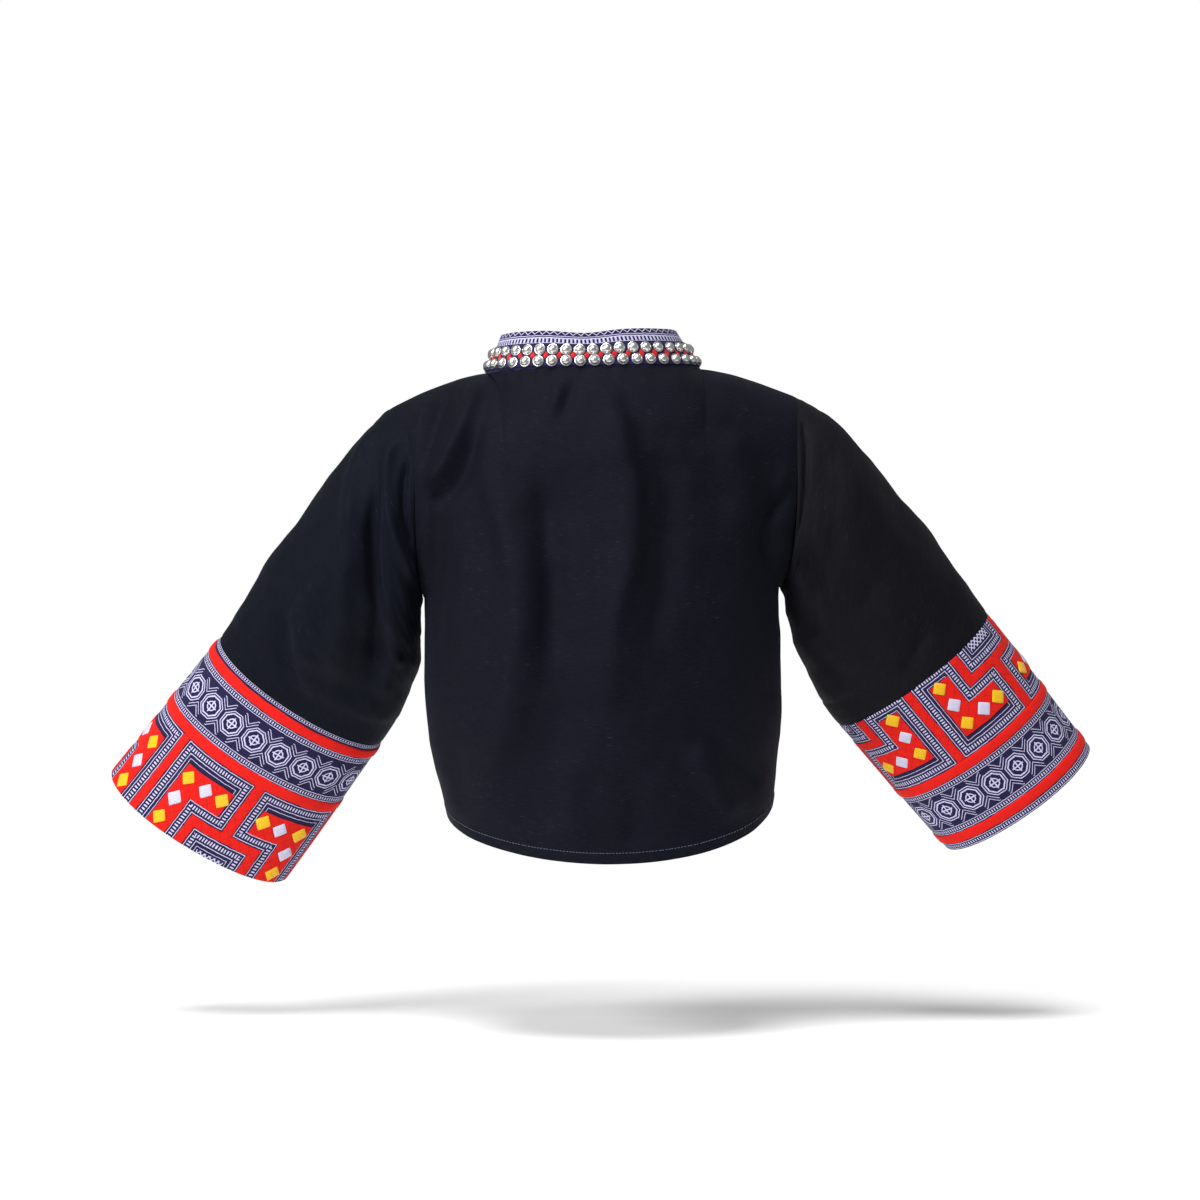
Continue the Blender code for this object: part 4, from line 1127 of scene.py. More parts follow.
def on_collar(arc, height, stand_off):
    """Points a little way off the collar, by distance along it and height, with their directions."""
    angles, arcs = COLLAR_TABLE
    arc, height = np.broadcast_arrays(np.asarray(arc, float), np.asarray(height, float))
    angle = np.interp(arc, arcs, angles)
    normal = collar_normal(angle, height)
    return collar(angle, height) + normal * np.asarray(stand_off)[..., None], normal


def collar_layer(name, heights, rows, stand_off, thickness, cloth, lining):
    """Make a band of cloth along the collar, between two heights."""
    arcs = COLLAR_TABLE[1]
    arc = np.linspace(arcs[0], arcs[-1], COLLAR_COLUMNS_COUNT)[None, :]
    height = np.linspace(*heights, rows)[:, None]
    wave = 0.18 * np.sin(arc / 13) + 0.12 * np.sin(arc / 5.5 + height / 9)
    grid, normals = on_collar(arc, height, stand_off + wave + 0 * height)
    cut = np.stack(np.broadcast_arrays(arc, height, 0 * arc * height), axis=-1)
    return shell(name, grid, normals, thickness, cut, cloth, lining, 1)


def dome_rings():
    """Radius and height of each ring of one silver dome: its rim, then its bowl up to near the top."""
    angles = np.linspace(0, math.pi / 2, STUD_BOWL_RINGS, endpoint=False)
    radius = STUD_DIAMETER / 2
    low = STUD_RIM_HEIGHT
    rings = [(radius, 0.0), (radius, STUD_RIM_EDGE), (radius * STUD_RIM_INNER, low)]
    for a in angles:
        height = low + (STUD_HEIGHT - low) * math.sin(a) ** STUD_FULLNESS
        rings.append((radius * STUD_BOWL * math.cos(a), height))
    return rings


def set_domes(place, silver):
    """Make one row of silver domes along the collar."""
    arcs = COLLAR_TABLE[1]
    count = int((arcs[-1] - arcs[0] - STUD_DIAMETER) / STUD_PITCH)
    lowest = math.ceil((arcs[0] + STUD_MARGIN - STUD_START) / STUD_PITCH)
    rings = dome_rings()
    turn = np.linspace(0, 2 * math.pi, STUD_CORNERS, endpoint=False)
    points, faces = [], []
    for index in range(lowest, lowest + count + 1):
        arc = STUD_START + index * STUD_PITCH + CHANCES.uniform(-STUD_DRIFT, STUD_DRIFT)
        if arc > arcs[-1] - STUD_MARGIN:
            continue
        height = STUD_ROW_HEIGHTS[place] + CHANCES.uniform(-0.12, 0.12)
        base = np.float64(TAPE_OFF + 0.05)
        centre, normal = on_collar(arc, height, base)
        beside, _ = on_collar(arc + 0.5, height, base)
        along = unit(beside - centre)
        along = unit(along - normal * float(along @ normal))
        up = np.cross(normal, along)
        lean_along = CHANCES.uniform(-STUD_LEAN, STUD_LEAN)
        lean_up = CHANCES.uniform(-STUD_LEAN, STUD_LEAN)
        tip = unit(normal + along * lean_along + up * lean_up)
        first = len(points)
        for radius, rise in rings:
            for angle in turn:
                side = along * math.cos(angle) + up * math.sin(angle)
                points.append(centre + tip * rise + radius * side)
        points.append(centre + tip * STUD_HEIGHT)
        faces += ring_faces(first, STUD_CORNERS, len(rings), tip=len(points) - 1)
    piece = new_piece("domes_" + place, points, faces, np.zeros((len(points), 3)), [silver], smooth_angle=60)
    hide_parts("stud_row_" + place)
    return piece


def sew_rhombs(cloth):
    """Make the small red rhombs between the domes."""
    arcs = COLLAR_TABLE[1]
    points, faces, cuts = [], [], []
    start = STUD_START + STUD_PITCH / 2
    lowest = math.ceil((arcs[0] + RHOMB_MARGIN - start) / STUD_PITCH)
    highest = math.floor((arcs[-1] - RHOMB_MARGIN - start) / STUD_PITCH)
    for index in range(lowest, highest + 1):
        arc = start + index * STUD_PITCH
        first = len(points)
        for size, rise in RHOMB_RINGS:
            for a, b in ((1, 0), (0, 1), (-1, 0), (0, -1)) if size else ((0, 0),):
                off_x, off_y = a * size * RHOMB_HALF[0], b * size * RHOMB_HALF[1]
                point, _ = on_collar(arc + off_x, RHOMB_HEIGHT + off_y, np.float64(TAPE_OFF + rise))
                points.append(point)
                cuts.append((off_x, off_y, 0.0))
        faces += ring_faces(first, 4, len(RHOMB_RINGS) - 1, tip=len(points) - 1)
    return new_piece("collar_rhombs", points, faces, cuts, [cloth])


# Threads

def thread(name, starts, ends, normals, radius, cloth):
    """Make many short stitches as one mesh: each a small padded bar between two points."""
    points, faces = [], []
    for start, end, normal in zip(starts, ends, normals):
        along = unit(end - start)
        side = unit(np.cross(along, normal))
        first = len(points)
        for share, size in THREAD_RINGS:
            centre = mix(start, end, share)
            for a, b in THREAD_CORNERS:
                points.append(centre + (side * a + normal * b) * radius * size)
        faces += ring_faces(first, len(THREAD_CORNERS), len(THREAD_RINGS))
        faces.append(tuple(range(first + 3, first - 1, -1)))
        faces.append(tuple(range(len(points) - 4, len(points))))
    return new_piece(name, points, faces, np.zeros((len(points), 3)), [cloth], smooth_angle=80)


def stitch_line(points, normals, pitch, length, lift):
    """Starts, ends and directions of even stitches along a line of points."""
    walk = walked(points[None], 1)[0]
    starts = np.arange(pitch / 2, walk[-1] - pitch, pitch)
    starts = starts + CHANCES.uniform(-0.12, 0.12, len(starts)) * pitch

    def at(places, values):
        return np.stack([np.interp(places, walk, values[:, axis]) for axis in range(3)], axis=-1)

    directions = unit(at(starts + length / 2, normals))
    return at(starts, points) + directions * lift, at(starts + length, points) + directions * lift, directions


# Shaders

class Ink:
    """A value or colour in a material's node tree, which takes sums and comparisons like a number."""

    def __init__(self, tree, socket):
        self.tree = tree
        self.socket = socket

    def math(self, operation, *values):
        return node(self.tree, "ShaderNodeMath", {"operation": operation}, (self, *values))

    def __add__(self, other):
        return self.math("ADD", other)

    def __sub__(self, other):
        return self.math("SUBTRACT", other)

    def __mul__(self, other):
        return self.math("MULTIPLY", other)

    def __truediv__(self, other):
        return self.math("DIVIDE", other)

    __radd__ = __add__
    __rmul__ = __mul__

    def __rsub__(self, other):
        return node(self.tree, "ShaderNodeMath", {"operation": "SUBTRACT"}, (other, self))

    def __abs__(self):
        return self.math("ABSOLUTE")

    def __lt__(self, other):
        return self.math("LESS_THAN", other)

    def __gt__(self, other):
        return self.math("GREATER_THAN", other)

    def smaller(self, other):
        return self.math("MINIMUM", other)

    def larger(self, other):
        return self.math("MAXIMUM", other)

    def wrapped(self, high, low):
        return self.math("WRAP", high, low)

    def sine(self):
        return self.math("SINE")

    def power(self, other):
        return self.math("POWER", other)

    def clamped(self):
        return node(self.tree, "ShaderNodeClamp", {}, (self,))

    def choose(self, when_one, when_zero):
        """when_one where this is 1, when_zero where it is 0."""
        return self * when_one + (1 - self) * when_zero


def node(tree, kind, settings, values=(), output=0):
    """Add one node with its settings, then its sockets in order (or by name), and give its output."""
    made = tree.nodes.new(kind)
    for name, value in settings.items():
        setattr(made, name, value)
    pairs = values.items() if isinstance(values, dict) else enumerate(values)
    for key, value in pairs:
        socket = made.inputs[key]
        if isinstance(value, Ink):
            tree.links.new(value.socket, socket)
        else:
            socket.default_value = value
    return Ink(tree, made.outputs[output])


class Cloth:
    """A material with its shader, and the place of each point on its flat cloth in millimetres."""

    def __init__(self, name, roughness=0.8, sheen=0.0, sheen_tint=(1, 1, 1), metallic=0.0, coat=0.0):
        self.material = bpy.data.materials.new(name)
        self.material.use_nodes = True
        self.tree = self.material.node_tree
        self.shader = self.tree.nodes["Principled BSDF"]
        self.set("Roughness", roughness)
        self.set("Metallic", metallic)
        self.set("Specular IOR Level", 0.5 if metallic else 0.15)
        self.set("Sheen Weight", sheen)
        self.set("Sheen Roughness", 0.5)
        self.set("Sheen Tint", (*sheen_tint, 1.0))
        self.set("Coat Weight", coat)
        self.vector = node(self.tree, "ShaderNodeAttribute", {"attribute_name": "cut"}, output="Vector")
        split = self.tree.nodes.new("ShaderNodeSeparateXYZ")
        self.tree.links.new(self.vector.socket, split.inputs[0])
        self.x, self.y = (Ink(self.tree, socket) for socket in split.outputs[:2])

    def set(self, name, value):
        socket = self.shader.inputs[name]
        if isinstance(value, Ink):
            self.tree.links.new(value.socket, socket)
        else:
            socket.default_value = value

    def noise(self, scale, detail=2.0, stretch=(1, 1, 1), roughness=0.5):
        """Cloudy values from 0 to 1, with a size in millimetres for each of the cloth's directions."""
        vector = node(
            self.tree, "ShaderNodeVectorMath", {"operation": "MULTIPLY"},
            (self.vector, tuple(1 / (scale * s) for s in stretch)),
        )
        return node(
            self.tree, "ShaderNodeTexNoise", {"normalize": True},
            {"Vector": vector, "Scale": 1.0, "Detail": detail, "Roughness": roughness},
        )

    def colours(self, share, first, second):
        """Mix two colours by a share."""
        made = self.tree.nodes.new("ShaderNodeMix")
        made.data_type = "RGBA"
        for socket, value in zip((made.inputs[0], made.inputs[6], made.inputs[7]), (share, first, second)):
            if isinstance(value, Ink):
                self.tree.links.new(value.socket, socket)
            else:
                socket.default_value = value if isinstance(value, float) else (*value[:3], 1.0)
        return Ink(self.tree, made.outputs[2])

    def bump(self, height, depth, strength=1.0):
        """Let a height, in millimetres of the given depth, stand up from the cloth."""
        normal = node(
            self.tree, "ShaderNodeBump", {},
            {"Strength": strength, "Distance": depth * MM, "Height": height},
        )
        self.set("Normal", normal)


def linear(red, green, blue):
    """A colour from its eight-bit values, in the light's own scale."""
    def one(value):
        share = value / 255
        return share / 12.92 if share <= 0.04045 else ((share + 0.055) / 1.055) ** 2.4
    return tuple(one(value) for value in (red, green, blue))


def band(value, middle, half, soft=0.13):
    """1 within a band and 0 outside it, with a soft edge."""
    return ((half - abs(value - middle)) / soft + 0.5).clamped()


def ticks(value, pitch, share=0.5, soft=0.16):
    """Even dashes along a length."""
    return band(value.wrapped(pitch / 2, -pitch / 2), 0, pitch * share / 2, soft)


def linen(name, sizes, tint):
    """Black linen: uneven flat yarns that catch the light in short dashes, with a few thick slubs painted
    brighter, partly their own tone and partly a painted glint.
    """
    cloth = Cloth(name, roughness=0.72, sheen=sizes.linen_sheen, sheen_tint=tint)
    cloth.set("Specular IOR Level", sizes.linen_gloss)
    cloth.set("Specular Tint", (*tint, 1.0))
    dashes = cloth.noise(1.0, 3.0, (11, 0.62, 1), 0.65)
    slub = ((dashes - 0.5) * 3.2).clamped()
    up = cloth.noise(1.0, 2.0, (0.62, 8.0, 1), 0.6)
    rise = ((up - 0.52) * 2.4).clamped()
    cloud = cloth.noise(70, 2.0)
    dark = tuple(sizes.linen_colour)
    light = tuple(sizes.linen_yarn)
    share = (slub * 0.75 + rise * 0.3 + (cloud - 0.5) * 0.35).clamped()
    # Painted glint: a few thick slub yarns get a much brighter colour, which stands in for the light they
    # catch on the folds as well as their own tone.
    strands = cloth.noise(1.0, 2.0, (9, 0.85, 1), 0.5)
    slub_glint = ((strands - 0.66) * 9).clamped() * ((cloud - 0.35) * 3).clamped()
    yarns = cloth.colours(share, dark, light)
    cloth.set("Base Color", cloth.colours(slub_glint, yarns, tuple(sizes.thick_yarn_glint)))
    weft = (cloth.y * (2 * math.pi / sizes.yarn_pitch)).sine()
    warp = (cloth.x * (2 * math.pi / sizes.yarn_pitch)).sine()
    cloth.bump(dashes * 1.3 + up * 0.5 + weft * warp * 0.16, 0.35, 0.8)
    cloth.set("Roughness", 0.40 + 0.26 * (1 - slub))
    return cloth.material


def plain(name, colour, roughness=0.85, sheen=0.1):
    """Plain cloth with a fine weave, for linings and turned edges."""
    cloth = Cloth(name, roughness=roughness, sheen=sheen)
    weave = cloth.noise(0.9, 2.0)
    cloth.set("Base Color", cloth.colours(weave, colour, tuple(c * 1.6 + 0.004 for c in colour)))
    cloth.bump(weave, 0.15, 0.5)
    return cloth.material


def narrow_ladder(down, along):
    """Two lines with a row of ticks between them: a batik ladder 6.8 mm wide."""
    rungs = band(down, 3.4, 1.3) * ticks(along, 2.6, 0.42)
    return band(down, 0.8, 0.3).larger(band(down, 6.0, 0.3)).larger(rungs)


def octagons(across, down):
    """Nested octagons with a cross and a ring inside, and chevrons between them."""
    p = abs(across)
    q = abs(down)
    r = p.larger(q).larger((p + q) * (1 / math.sqrt(2)))
    ring = (p.power(2.0) + q.power(2.0)).power(0.5)
    rings = band(r, 10.9, 0.42).larger(band(r, 8.6, 0.62))
    cross = p.smaller(q) < 0.62
    inside = (cross * (ring < 5.9)).larger(band(ring, 4.1, 0.55))
    outside = band(r, 13.6, 0.3).larger(band(r, 16.0, 0.3)) * (p > 5.2)
    return rings.larger(inside).larger(outside)


def meander(x, y, top):
    """The frame of lines and ticks round the meander's red fields."""
    m = MEANDER
    over = y > x
    far = 999.0
    concave_x = over.choose(m["leg_end"] - x, far)
    concave_y = over.choose(far, m["leg_end"] - y)
    from_side = (x - m["channel"]).smaller(m["bar_end"] - x).smaller(concave_x)
    from_end = y.smaller(concave_y).smaller(top - y)
    depth = from_side.smaller(from_end)
    block_side = x - m["block"]
    block_end = y - m["block_top"]
    block_depth = block_side.smaller(block_end)
    inside_block = block_depth > 0
    own_depth = inside_block.choose(block_depth, depth)
    upright = inside_block.choose(block_side < block_end, from_side < from_end)
    along = upright.choose(y, x)
    lines = band(own_depth, 1.4, 0.34).larger(band(own_depth, 8.9, 0.34)).larger(band(own_depth, 12.2, 0.24))
    rungs = band(own_depth, 5.2, 1.75) * ticks(along, 2.7, 0.45)
    fleck = ticks(x + y, 4.4, 0.3).larger(ticks(x - y, 4.4, 0.3)) * (block_depth > 14.2)
    return lines.larger(rungs).larger(fleck)


def batik(name, sizes, draw):
    """Indigo batik cloth: draw gives the pale lines from the cloth's own lengths."""
    cloth = Cloth(name, roughness=0.84, sheen=0.12, sheen_tint=(0.8, 0.8, 1.0))
    drift_x = cloth.noise(6.5, 2.0)
    drift_y = cloth.noise(5.3, 2.0, (1, 1.3, 1))
    x = cloth.x + (drift_x - 0.5) * 1.1
    y = cloth.y + (drift_y - 0.5) * 1.1
    lines = draw(x, y)
    fade = cloth.noise(3.2, 3.0)
    grain = cloth.noise(0.75, 2.0)
    blot = cloth.noise(26, 2.0)
    ground = cloth.colours(blot, tuple(sizes.indigo), tuple(c * 2.1 + 0.004 for c in sizes.indigo))
    strength = (0.55 + fade * 0.7) * (0.72 + grain * 0.5)
    cloth.set("Base Color", cloth.colours((lines * strength).clamped(), ground, tuple(sizes.wax_line)))
    quilt = cloth.noise(8, 2.0)
    cloth.bump(grain * 0.5 + quilt * 1.6 + lines * 0.25, 0.35, 0.7)
    return cloth.material


def cuff_batik(hand, sizes):
    """The batik of one cuff: ladders, a row of octagons and the meander's frames."""
    ladders = LADDER_STARTS[hand]
    shift = CHANNEL_ARC[hand] - OCTAGON_ARC[hand]
    top = LADDER_TOP[hand]

    def draw(x, y):
        lines = None
        for start in ladders:
            ladder = narrow_ladder(y - start, x)
            lines = ladder if lines is None else lines.larger(ladder)
        across = (x + shift).wrapped(OCTAGON_PITCH / 2, -OCTAGON_PITCH / 2)
        middle = OCTAGON_MIDDLE[hand]
        half = OCTAGON_HALF[hand]
        row = octagons(across, y - middle) * (abs(y - middle) < half)
        folded = abs(x.wrapped(MEANDER["half_period"], -MEANDER["half_period"]))
        field = meander(folded, y - MEANDER_START, top) * (y > MEANDER_START)
        return lines.larger(row).larger(field)

    return batik("cuff_batik_" + SIDE_NAMES[hand], sizes, draw)


def collar_batik(name, sizes):
    """The collar's batik: a ladder, thin lines and a zigzag up to its edge."""
    def draw(x, y):
        ladder = band(y, 24.1, 3.1) * (1 - band(y, 24.3, 1.9) * ticks(x, 3.9, 0.52))
        thin = band(y, 28.5, 0.3)
        rise = abs(x.wrapped(3.9, -3.9)) * 0.75 + 29.9
        fan = band(y, rise, 0.42) * (y > 29.4)
        return ladder.larger(thin).larger(fan)

    return batik(name, sizes, draw)


def band_batik(name, sizes):
    """The front band's batik: two ladders with a row of octagons between them."""
    def draw(x, y):
        low = narrow_ladder(y - 0.8, x)
        high = narrow_ladder(y - FRONT_BAND_WIDTH + 7.6, x)
        across = x.wrapped(OCTAGON_PITCH / 2, -OCTAGON_PITCH / 2)
        off = y - FRONT_BAND_WIDTH / 2
        row = octagons(across, off) * (abs(off) < FRONT_BAND_WIDTH / 2 - 8.4)
        return low.larger(high).larger(row)

    return batik(name, sizes, draw)


def red_cotton(name, sizes, quilted):
    """Red cotton; where it is applique, its quilting lines are sunk by a bump and painted darker as shade in
    their grooves.
    """
    cloth = Cloth(name, roughness=0.78, sheen=0.15, sheen_tint=(1.0, 0.5, 0.4))
    grain = cloth.noise(0.7, 2.0)
    cloud = cloth.noise(9, 2.0)
    deep = tuple(c * 0.62 for c in sizes.red)
    share = (0.35 + cloud * 0.7 + (grain - 0.5) * 0.5).clamped()
    height = grain * 0.5 + cloud * 1.4
    if quilted:
        rising = abs((cloth.x + cloth.y).wrapped(4.9, -4.9))
        falling = abs((cloth.x - cloth.y).wrapped(4.9, -4.9))
        fold = rising.smaller(falling)
        seam = band(fold, 0.0, 0.34)
        # Painted shade: the quilting grooves are darkened in colour as well as sunk by the bump.
        share = (share - seam * 0.55).clamped()
        height = height - seam * 1.2
    cloth.set("Base Color", cloth.colours(share, deep, tuple(sizes.red)))
    cloth.bump(height, 0.35, 0.7)
    return cloth.material


def satin(name, colour):
    """Satin stitch: fine bright threads side by side."""
    cloth = Cloth(name, roughness=0.42, sheen=0.2, coat=0.05)
    line = ((cloth.x + cloth.y) * (2 * math.pi / 0.85)).sine() * 0.5 + 0.5
    shade = cloth.noise(1.6, 2.0)
    share = (line * 0.55 + shade * 0.5).clamped()
    cloth.set("Base Color", cloth.colours(share, tuple(c * 0.72 for c in colour), tuple(colour)))
    cloth.bump(line, 0.2, 0.8)
    return cloth.material


def silver(name, sizes):
    """Soft bright silver, a little uneven from the hammer."""
    cloth = Cloth(name, roughness=0.2, metallic=1.0)
    place = node(cloth.tree, "ShaderNodeTexCoord", {}, output="Object")
    dents = node(cloth.tree, "ShaderNodeTexNoise", {}, {"Vector": place, "Scale": 160.0, "Detail": 2.0})
    cloth.set("Base Color", cloth.colours(dents, tuple(c * 0.88 for c in sizes.silver), tuple(sizes.silver)))
    cloth.set("Roughness", 0.26 + dents * 0.08)
    return cloth.material


# The body's panels

def top_turns_of(shoulder_columns, first_angle, last_angle, neck_columns):
    """Turns along a panel's top: the shoulder seam, then the neck."""
    shoulder = np.linspace(0, NECK_TURN, shoulder_columns)[:-1]
    neck = neck_turns(np.radians(np.linspace(first_angle, last_angle, neck_columns)))
    return np.concatenate([shoulder, neck])


def sew_back(cloth, lining):
    """The back, from one side seam to the other."""
    half = top_turns_of(30, 0, 90, 42)
    top_turns = np.concatenate([half, math.pi - half[::-1][1:]])
    rows = panel_rows(HEM_ROW, BODY_ROWS_COUNT)
    turns = spread_turns(rows, np.full(len(rows), math.pi), top_turns)
    edges = ("first", "last", "top")
    piece, hem = sew_panel("back_cloth", BACK, rows, turns, cloth, lining, edges, gathers=True)
    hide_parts("back")
    return piece, hem


def sew_left_front(cloth, lining):
    """The overlap, up to its batik band."""
    top_turns = top_turns_of(40, 0, BAND_NECK_ANGLE, 50)
    rows = panel_rows(HEM_ROW, BODY_ROWS_COUNT)
    turns = spread_turns(rows, band_edge_turns(rows), top_turns)
    piece, hem = sew_panel("left_front_cloth", FRONT, rows, turns, cloth, lining, ("first", "last", "top"))
    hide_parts("left_front")
    return piece, hem


def sew_right_front(cloth, lining):
    """The underlap, which runs on under the band, one layer down."""
    shoulder = np.linspace(math.pi, math.pi - NECK_TURN, 24)[:-1]
    last = float(underlap_turns(np.array([float(TOP_ROW)]))[0])
    neck = neck_turns(np.radians(np.linspace(180, UNDERLAP_NECK_ANGLE, 44)))
    top_turns = np.concatenate([shoulder, neck[neck > last + SMALL], [last]])
    rows = panel_rows(CHEST_ROW, BODY_ROWS_COUNT // 2)
    ends = underlap_turns(rows)
    shares = (math.pi - top_turns) / (math.pi - last)
    turns = math.pi - shares[None, :] * (math.pi - ends)[:, None]

    def sink(points):
        line = FREE_EDGE_LOW
        start = (0.0, NECK_FRONT_Z)
        above = points[..., 2] - along_line(start, line, points[..., 0])
        return (LINEN + LAYER_GAP) * (1 - ease(above, *UNDERLAP_STEP))

    piece, _ = sew_panel(
        "right_front_cloth", FRONT, rows, turns, cloth, lining, ("first", "top"), hem=False, sink=sink,
    )
    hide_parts("right_front")
    return piece


def sew_front_band(cloth, lining):
    """The batik band along the overlap's free edge."""
    rows = panel_rows(WAIST_ROW, BODY_ROWS_COUNT)
    shares = np.linspace(0, 1, 30)
    starts = band_edge_turns(rows)
    ends = free_edge_turns(rows)
    ends[0] = math.pi
    turns = starts[:, None] + shares[None, :] * (ends - starts)[:, None]
    turns[-1] = neck_turns(mix(math.radians(BAND_NECK_ANGLE), math.pi / 2, shares))
    base = body(FRONT, turns, rows[:, None])
    normals = grid_normals(base, FRONT)
    along = walked(base, 0)
    across = walked(base, 1)
    width = np.maximum(across[:, [-1]], 1.0)
    lift = 0.35 + 0.3 * np.sin(along / 27) * np.sin(math.pi * across / width) + groove(across) * 0.8
    grid = base + normals * lift[..., None]
    cut = np.stack([along, FRONT_BAND_WIDTH * across / width, np.zeros_like(along)], axis=-1)
    piece = shell("front_band_cloth", grid, grid_normals(grid, FRONT), LINEN, cut, cloth, lining, FRONT)
    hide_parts("front_band")
    return piece


# Settings

def length(name, default, description):
    """A setting that is a length in metres."""
    return bpy.props.FloatProperty(
        name=name, description=description, default=default, unit="LENGTH", subtype="DISTANCE",
    )


def share_of(name, default, description):
    """A setting that is a share or a strength."""
    return bpy.props.FloatProperty(
        name=name, description=description, default=default, min=0.0, subtype="FACTOR",
    )


def colour(name, default, description):
    """A setting that is a colour."""
    return bpy.props.FloatVectorProperty(
        name=name, description=description, default=default, size=3, min=0.0, max=1.0, subtype="COLOR",
    )


class JacketClothSettings(bpy.types.PropertyGroup):
    """Colours and finish of the linen and the cotton"""

    linen_colour: colour("Linen", (0.0010, 0.0011, 0.0022), "Colour of the black linen in its hollows")
    linen_yarn: colour("Linen yarn", (0.0044, 0.0051, 0.0100), "Colour of the linen's raised yarns")
    # Thick yarn glint: partly the slubs' own tone, partly a painted glint of light.
    thick_yarn_glint: colour("Thick yarn glint", (0.030, 0.036, 0.055), "Colour of the linen's few thick yarns")
    linen_sheen: share_of("Linen sheen", 0.028, "How much the linen's nap catches light at its edges")
    linen_gloss: share_of("Linen gloss", 0.15, "How much the linen's flat yarns shine")
    yarn_pitch: bpy.props.FloatProperty(
        name="Yarn pitch", description="Millimetres between yarns", default=0.85,
    )
    lining: colour("Lining", (0.006, 0.006, 0.009), "Colour of the cloth's inner face")
    thread: colour("Thread", (0.11, 0.13, 0.19), "Colour of the hem's stitches")


class JacketTrimSettings(bpy.types.PropertyGroup):
    """Colours of the batik, the applique and the silver"""

    indigo: colour("Indigo", linear(19, 14, 46), "Ground of the batik")
    wax_line: colour("Wax line", linear(206, 203, 238), "Pale lines of the batik")
    red: colour("Red", linear(226, 22, 14), "Strips and applique")
    yellow: colour("Yellow", linear(250, 196, 8), "Yellow diamonds")
    white: colour("White", linear(216, 214, 240), "White diamonds")
    silver: colour("Silver", (0.90, 0.90, 0.89), "Domes of the collar")


class JacketStageSettings(bpy.types.PropertyGroup):
    """The stage, its lights and the camera"""

    floor_drop: length("Floor drop", 0.60, "How far the floor lies below the back of the neck")
    floor_radius: length("Floor radius", 1.7, "Where the floor has faded out")
    floor_glow: share_of("Floor glow", 0.18, "Light the floor gives off, which keeps it white")
    camera_away: length("Camera distance", 3.0, "Distance from the jacket to the camera")
    camera_side: length("Camera side", -0.0063, "Camera's place from side to side")
    camera_rise: length("Camera height", -0.206, "Camera's height from the back of the neck")
    sky: share_of("Sky", 0.24, "Brightness of the light from all round")
    sun: share_of("Sun", 2.4, "Brightness of the light from above")
    window: share_of("Window", 92.0, "Power of the soft light at the upper left")


def settings(name):
    """One group of the settings kept in the scene."""
    return getattr(bpy.context.scene, name)


class JacketBody(bpy.types.Operator):
    """Sew the back, both fronts and the overlap's batik band"""

    bl_idname = "jacket.body"
    bl_label = "Sew body"

    def execute(self, context):
        cloth, trim = settings("jacket_cloth"), settings("jacket_trim")
        lining = plain("body_lining", tuple(cloth.lining))
        back, back_hem = sew_back(linen("back_linen_cloth", cloth, (0.62, 0.68, 1.0)), lining)
        front_linen = linen("front_linen_cloth", cloth, (0.62, 0.68, 1.0))
        left_front, front_hem = sew_left_front(front_linen, lining)
        right_front = sew_right_front(front_linen, lining)
        band_lining = plain("band_lining", tuple(trim.indigo))
        front_band = sew_front_band(band_batik("front_band_batik", trim), band_lining)
        thread_cloth = plain("hem_thread", tuple(cloth.thread), 0.6, 0.2)
        for name, (points, normals) in (("back", back_hem), ("front", front_hem)):
            starts, ends, directions = stitch_line(points, normals, THREAD_PITCH, THREAD_LENGTH, THREAD_LIFT)
            thread("hem_stitches_" + name, starts, ends, directions, THREAD_RADIUS, thread_cloth)
        return {"FINISHED"}


class JacketSleeves(bpy.types.Operator):
    """Sew both linen sleeves"""

    bl_idname = "jacket.sleeves"
    bl_label = "Sew sleeves"

    def execute(self, context):
        cloth = settings("jacket_cloth")
        lining = plain("sleeve_lining", tuple(cloth.lining))
        tints = {LEFT: (0.55, 0.66, 1.0), RIGHT: (0.85, 0.84, 1.0)}
        for hand in (LEFT, RIGHT):
            material = linen("sleeve_linen_cloth_" + SIDE_NAMES[hand], cloth, tints[hand])
            piece = sew_sleeve(hand, material, lining)
        return {"FINISHED"}


class JacketCuffs(bpy.types.Operator):
    """Sew both batik cuffs with their red strips, applique and diamonds"""

    bl_idname = "jacket.cuffs"
    bl_label = "Sew cuffs"

    def execute(self, context):
        trim = settings("jacket_trim")
        lining = plain("cuff_lining", tuple(trim.indigo))
        red_strip = red_cotton("red_strip_cotton", trim, False)
        red_field = red_cotton("red_applique_cotton", trim, True)
        threads = {
            "yellow": satin("yellow_satin", tuple(trim.yellow)),
            "white": satin("white_satin", tuple(trim.white)),
        }
        for hand in (LEFT, RIGHT):
            piece = sew_cuff(hand, cuff_batik(hand, trim), lining)
            sewn_on = [sew_strip(hand, place, red_strip) for place in STRIP_PLACES[hand]]
            sewn_on.append(sew_applique(hand, red_field))
            sewn_on += [sew_diamonds(hand, name, cloth) for name, cloth in threads.items()]
        return {"FINISHED"}


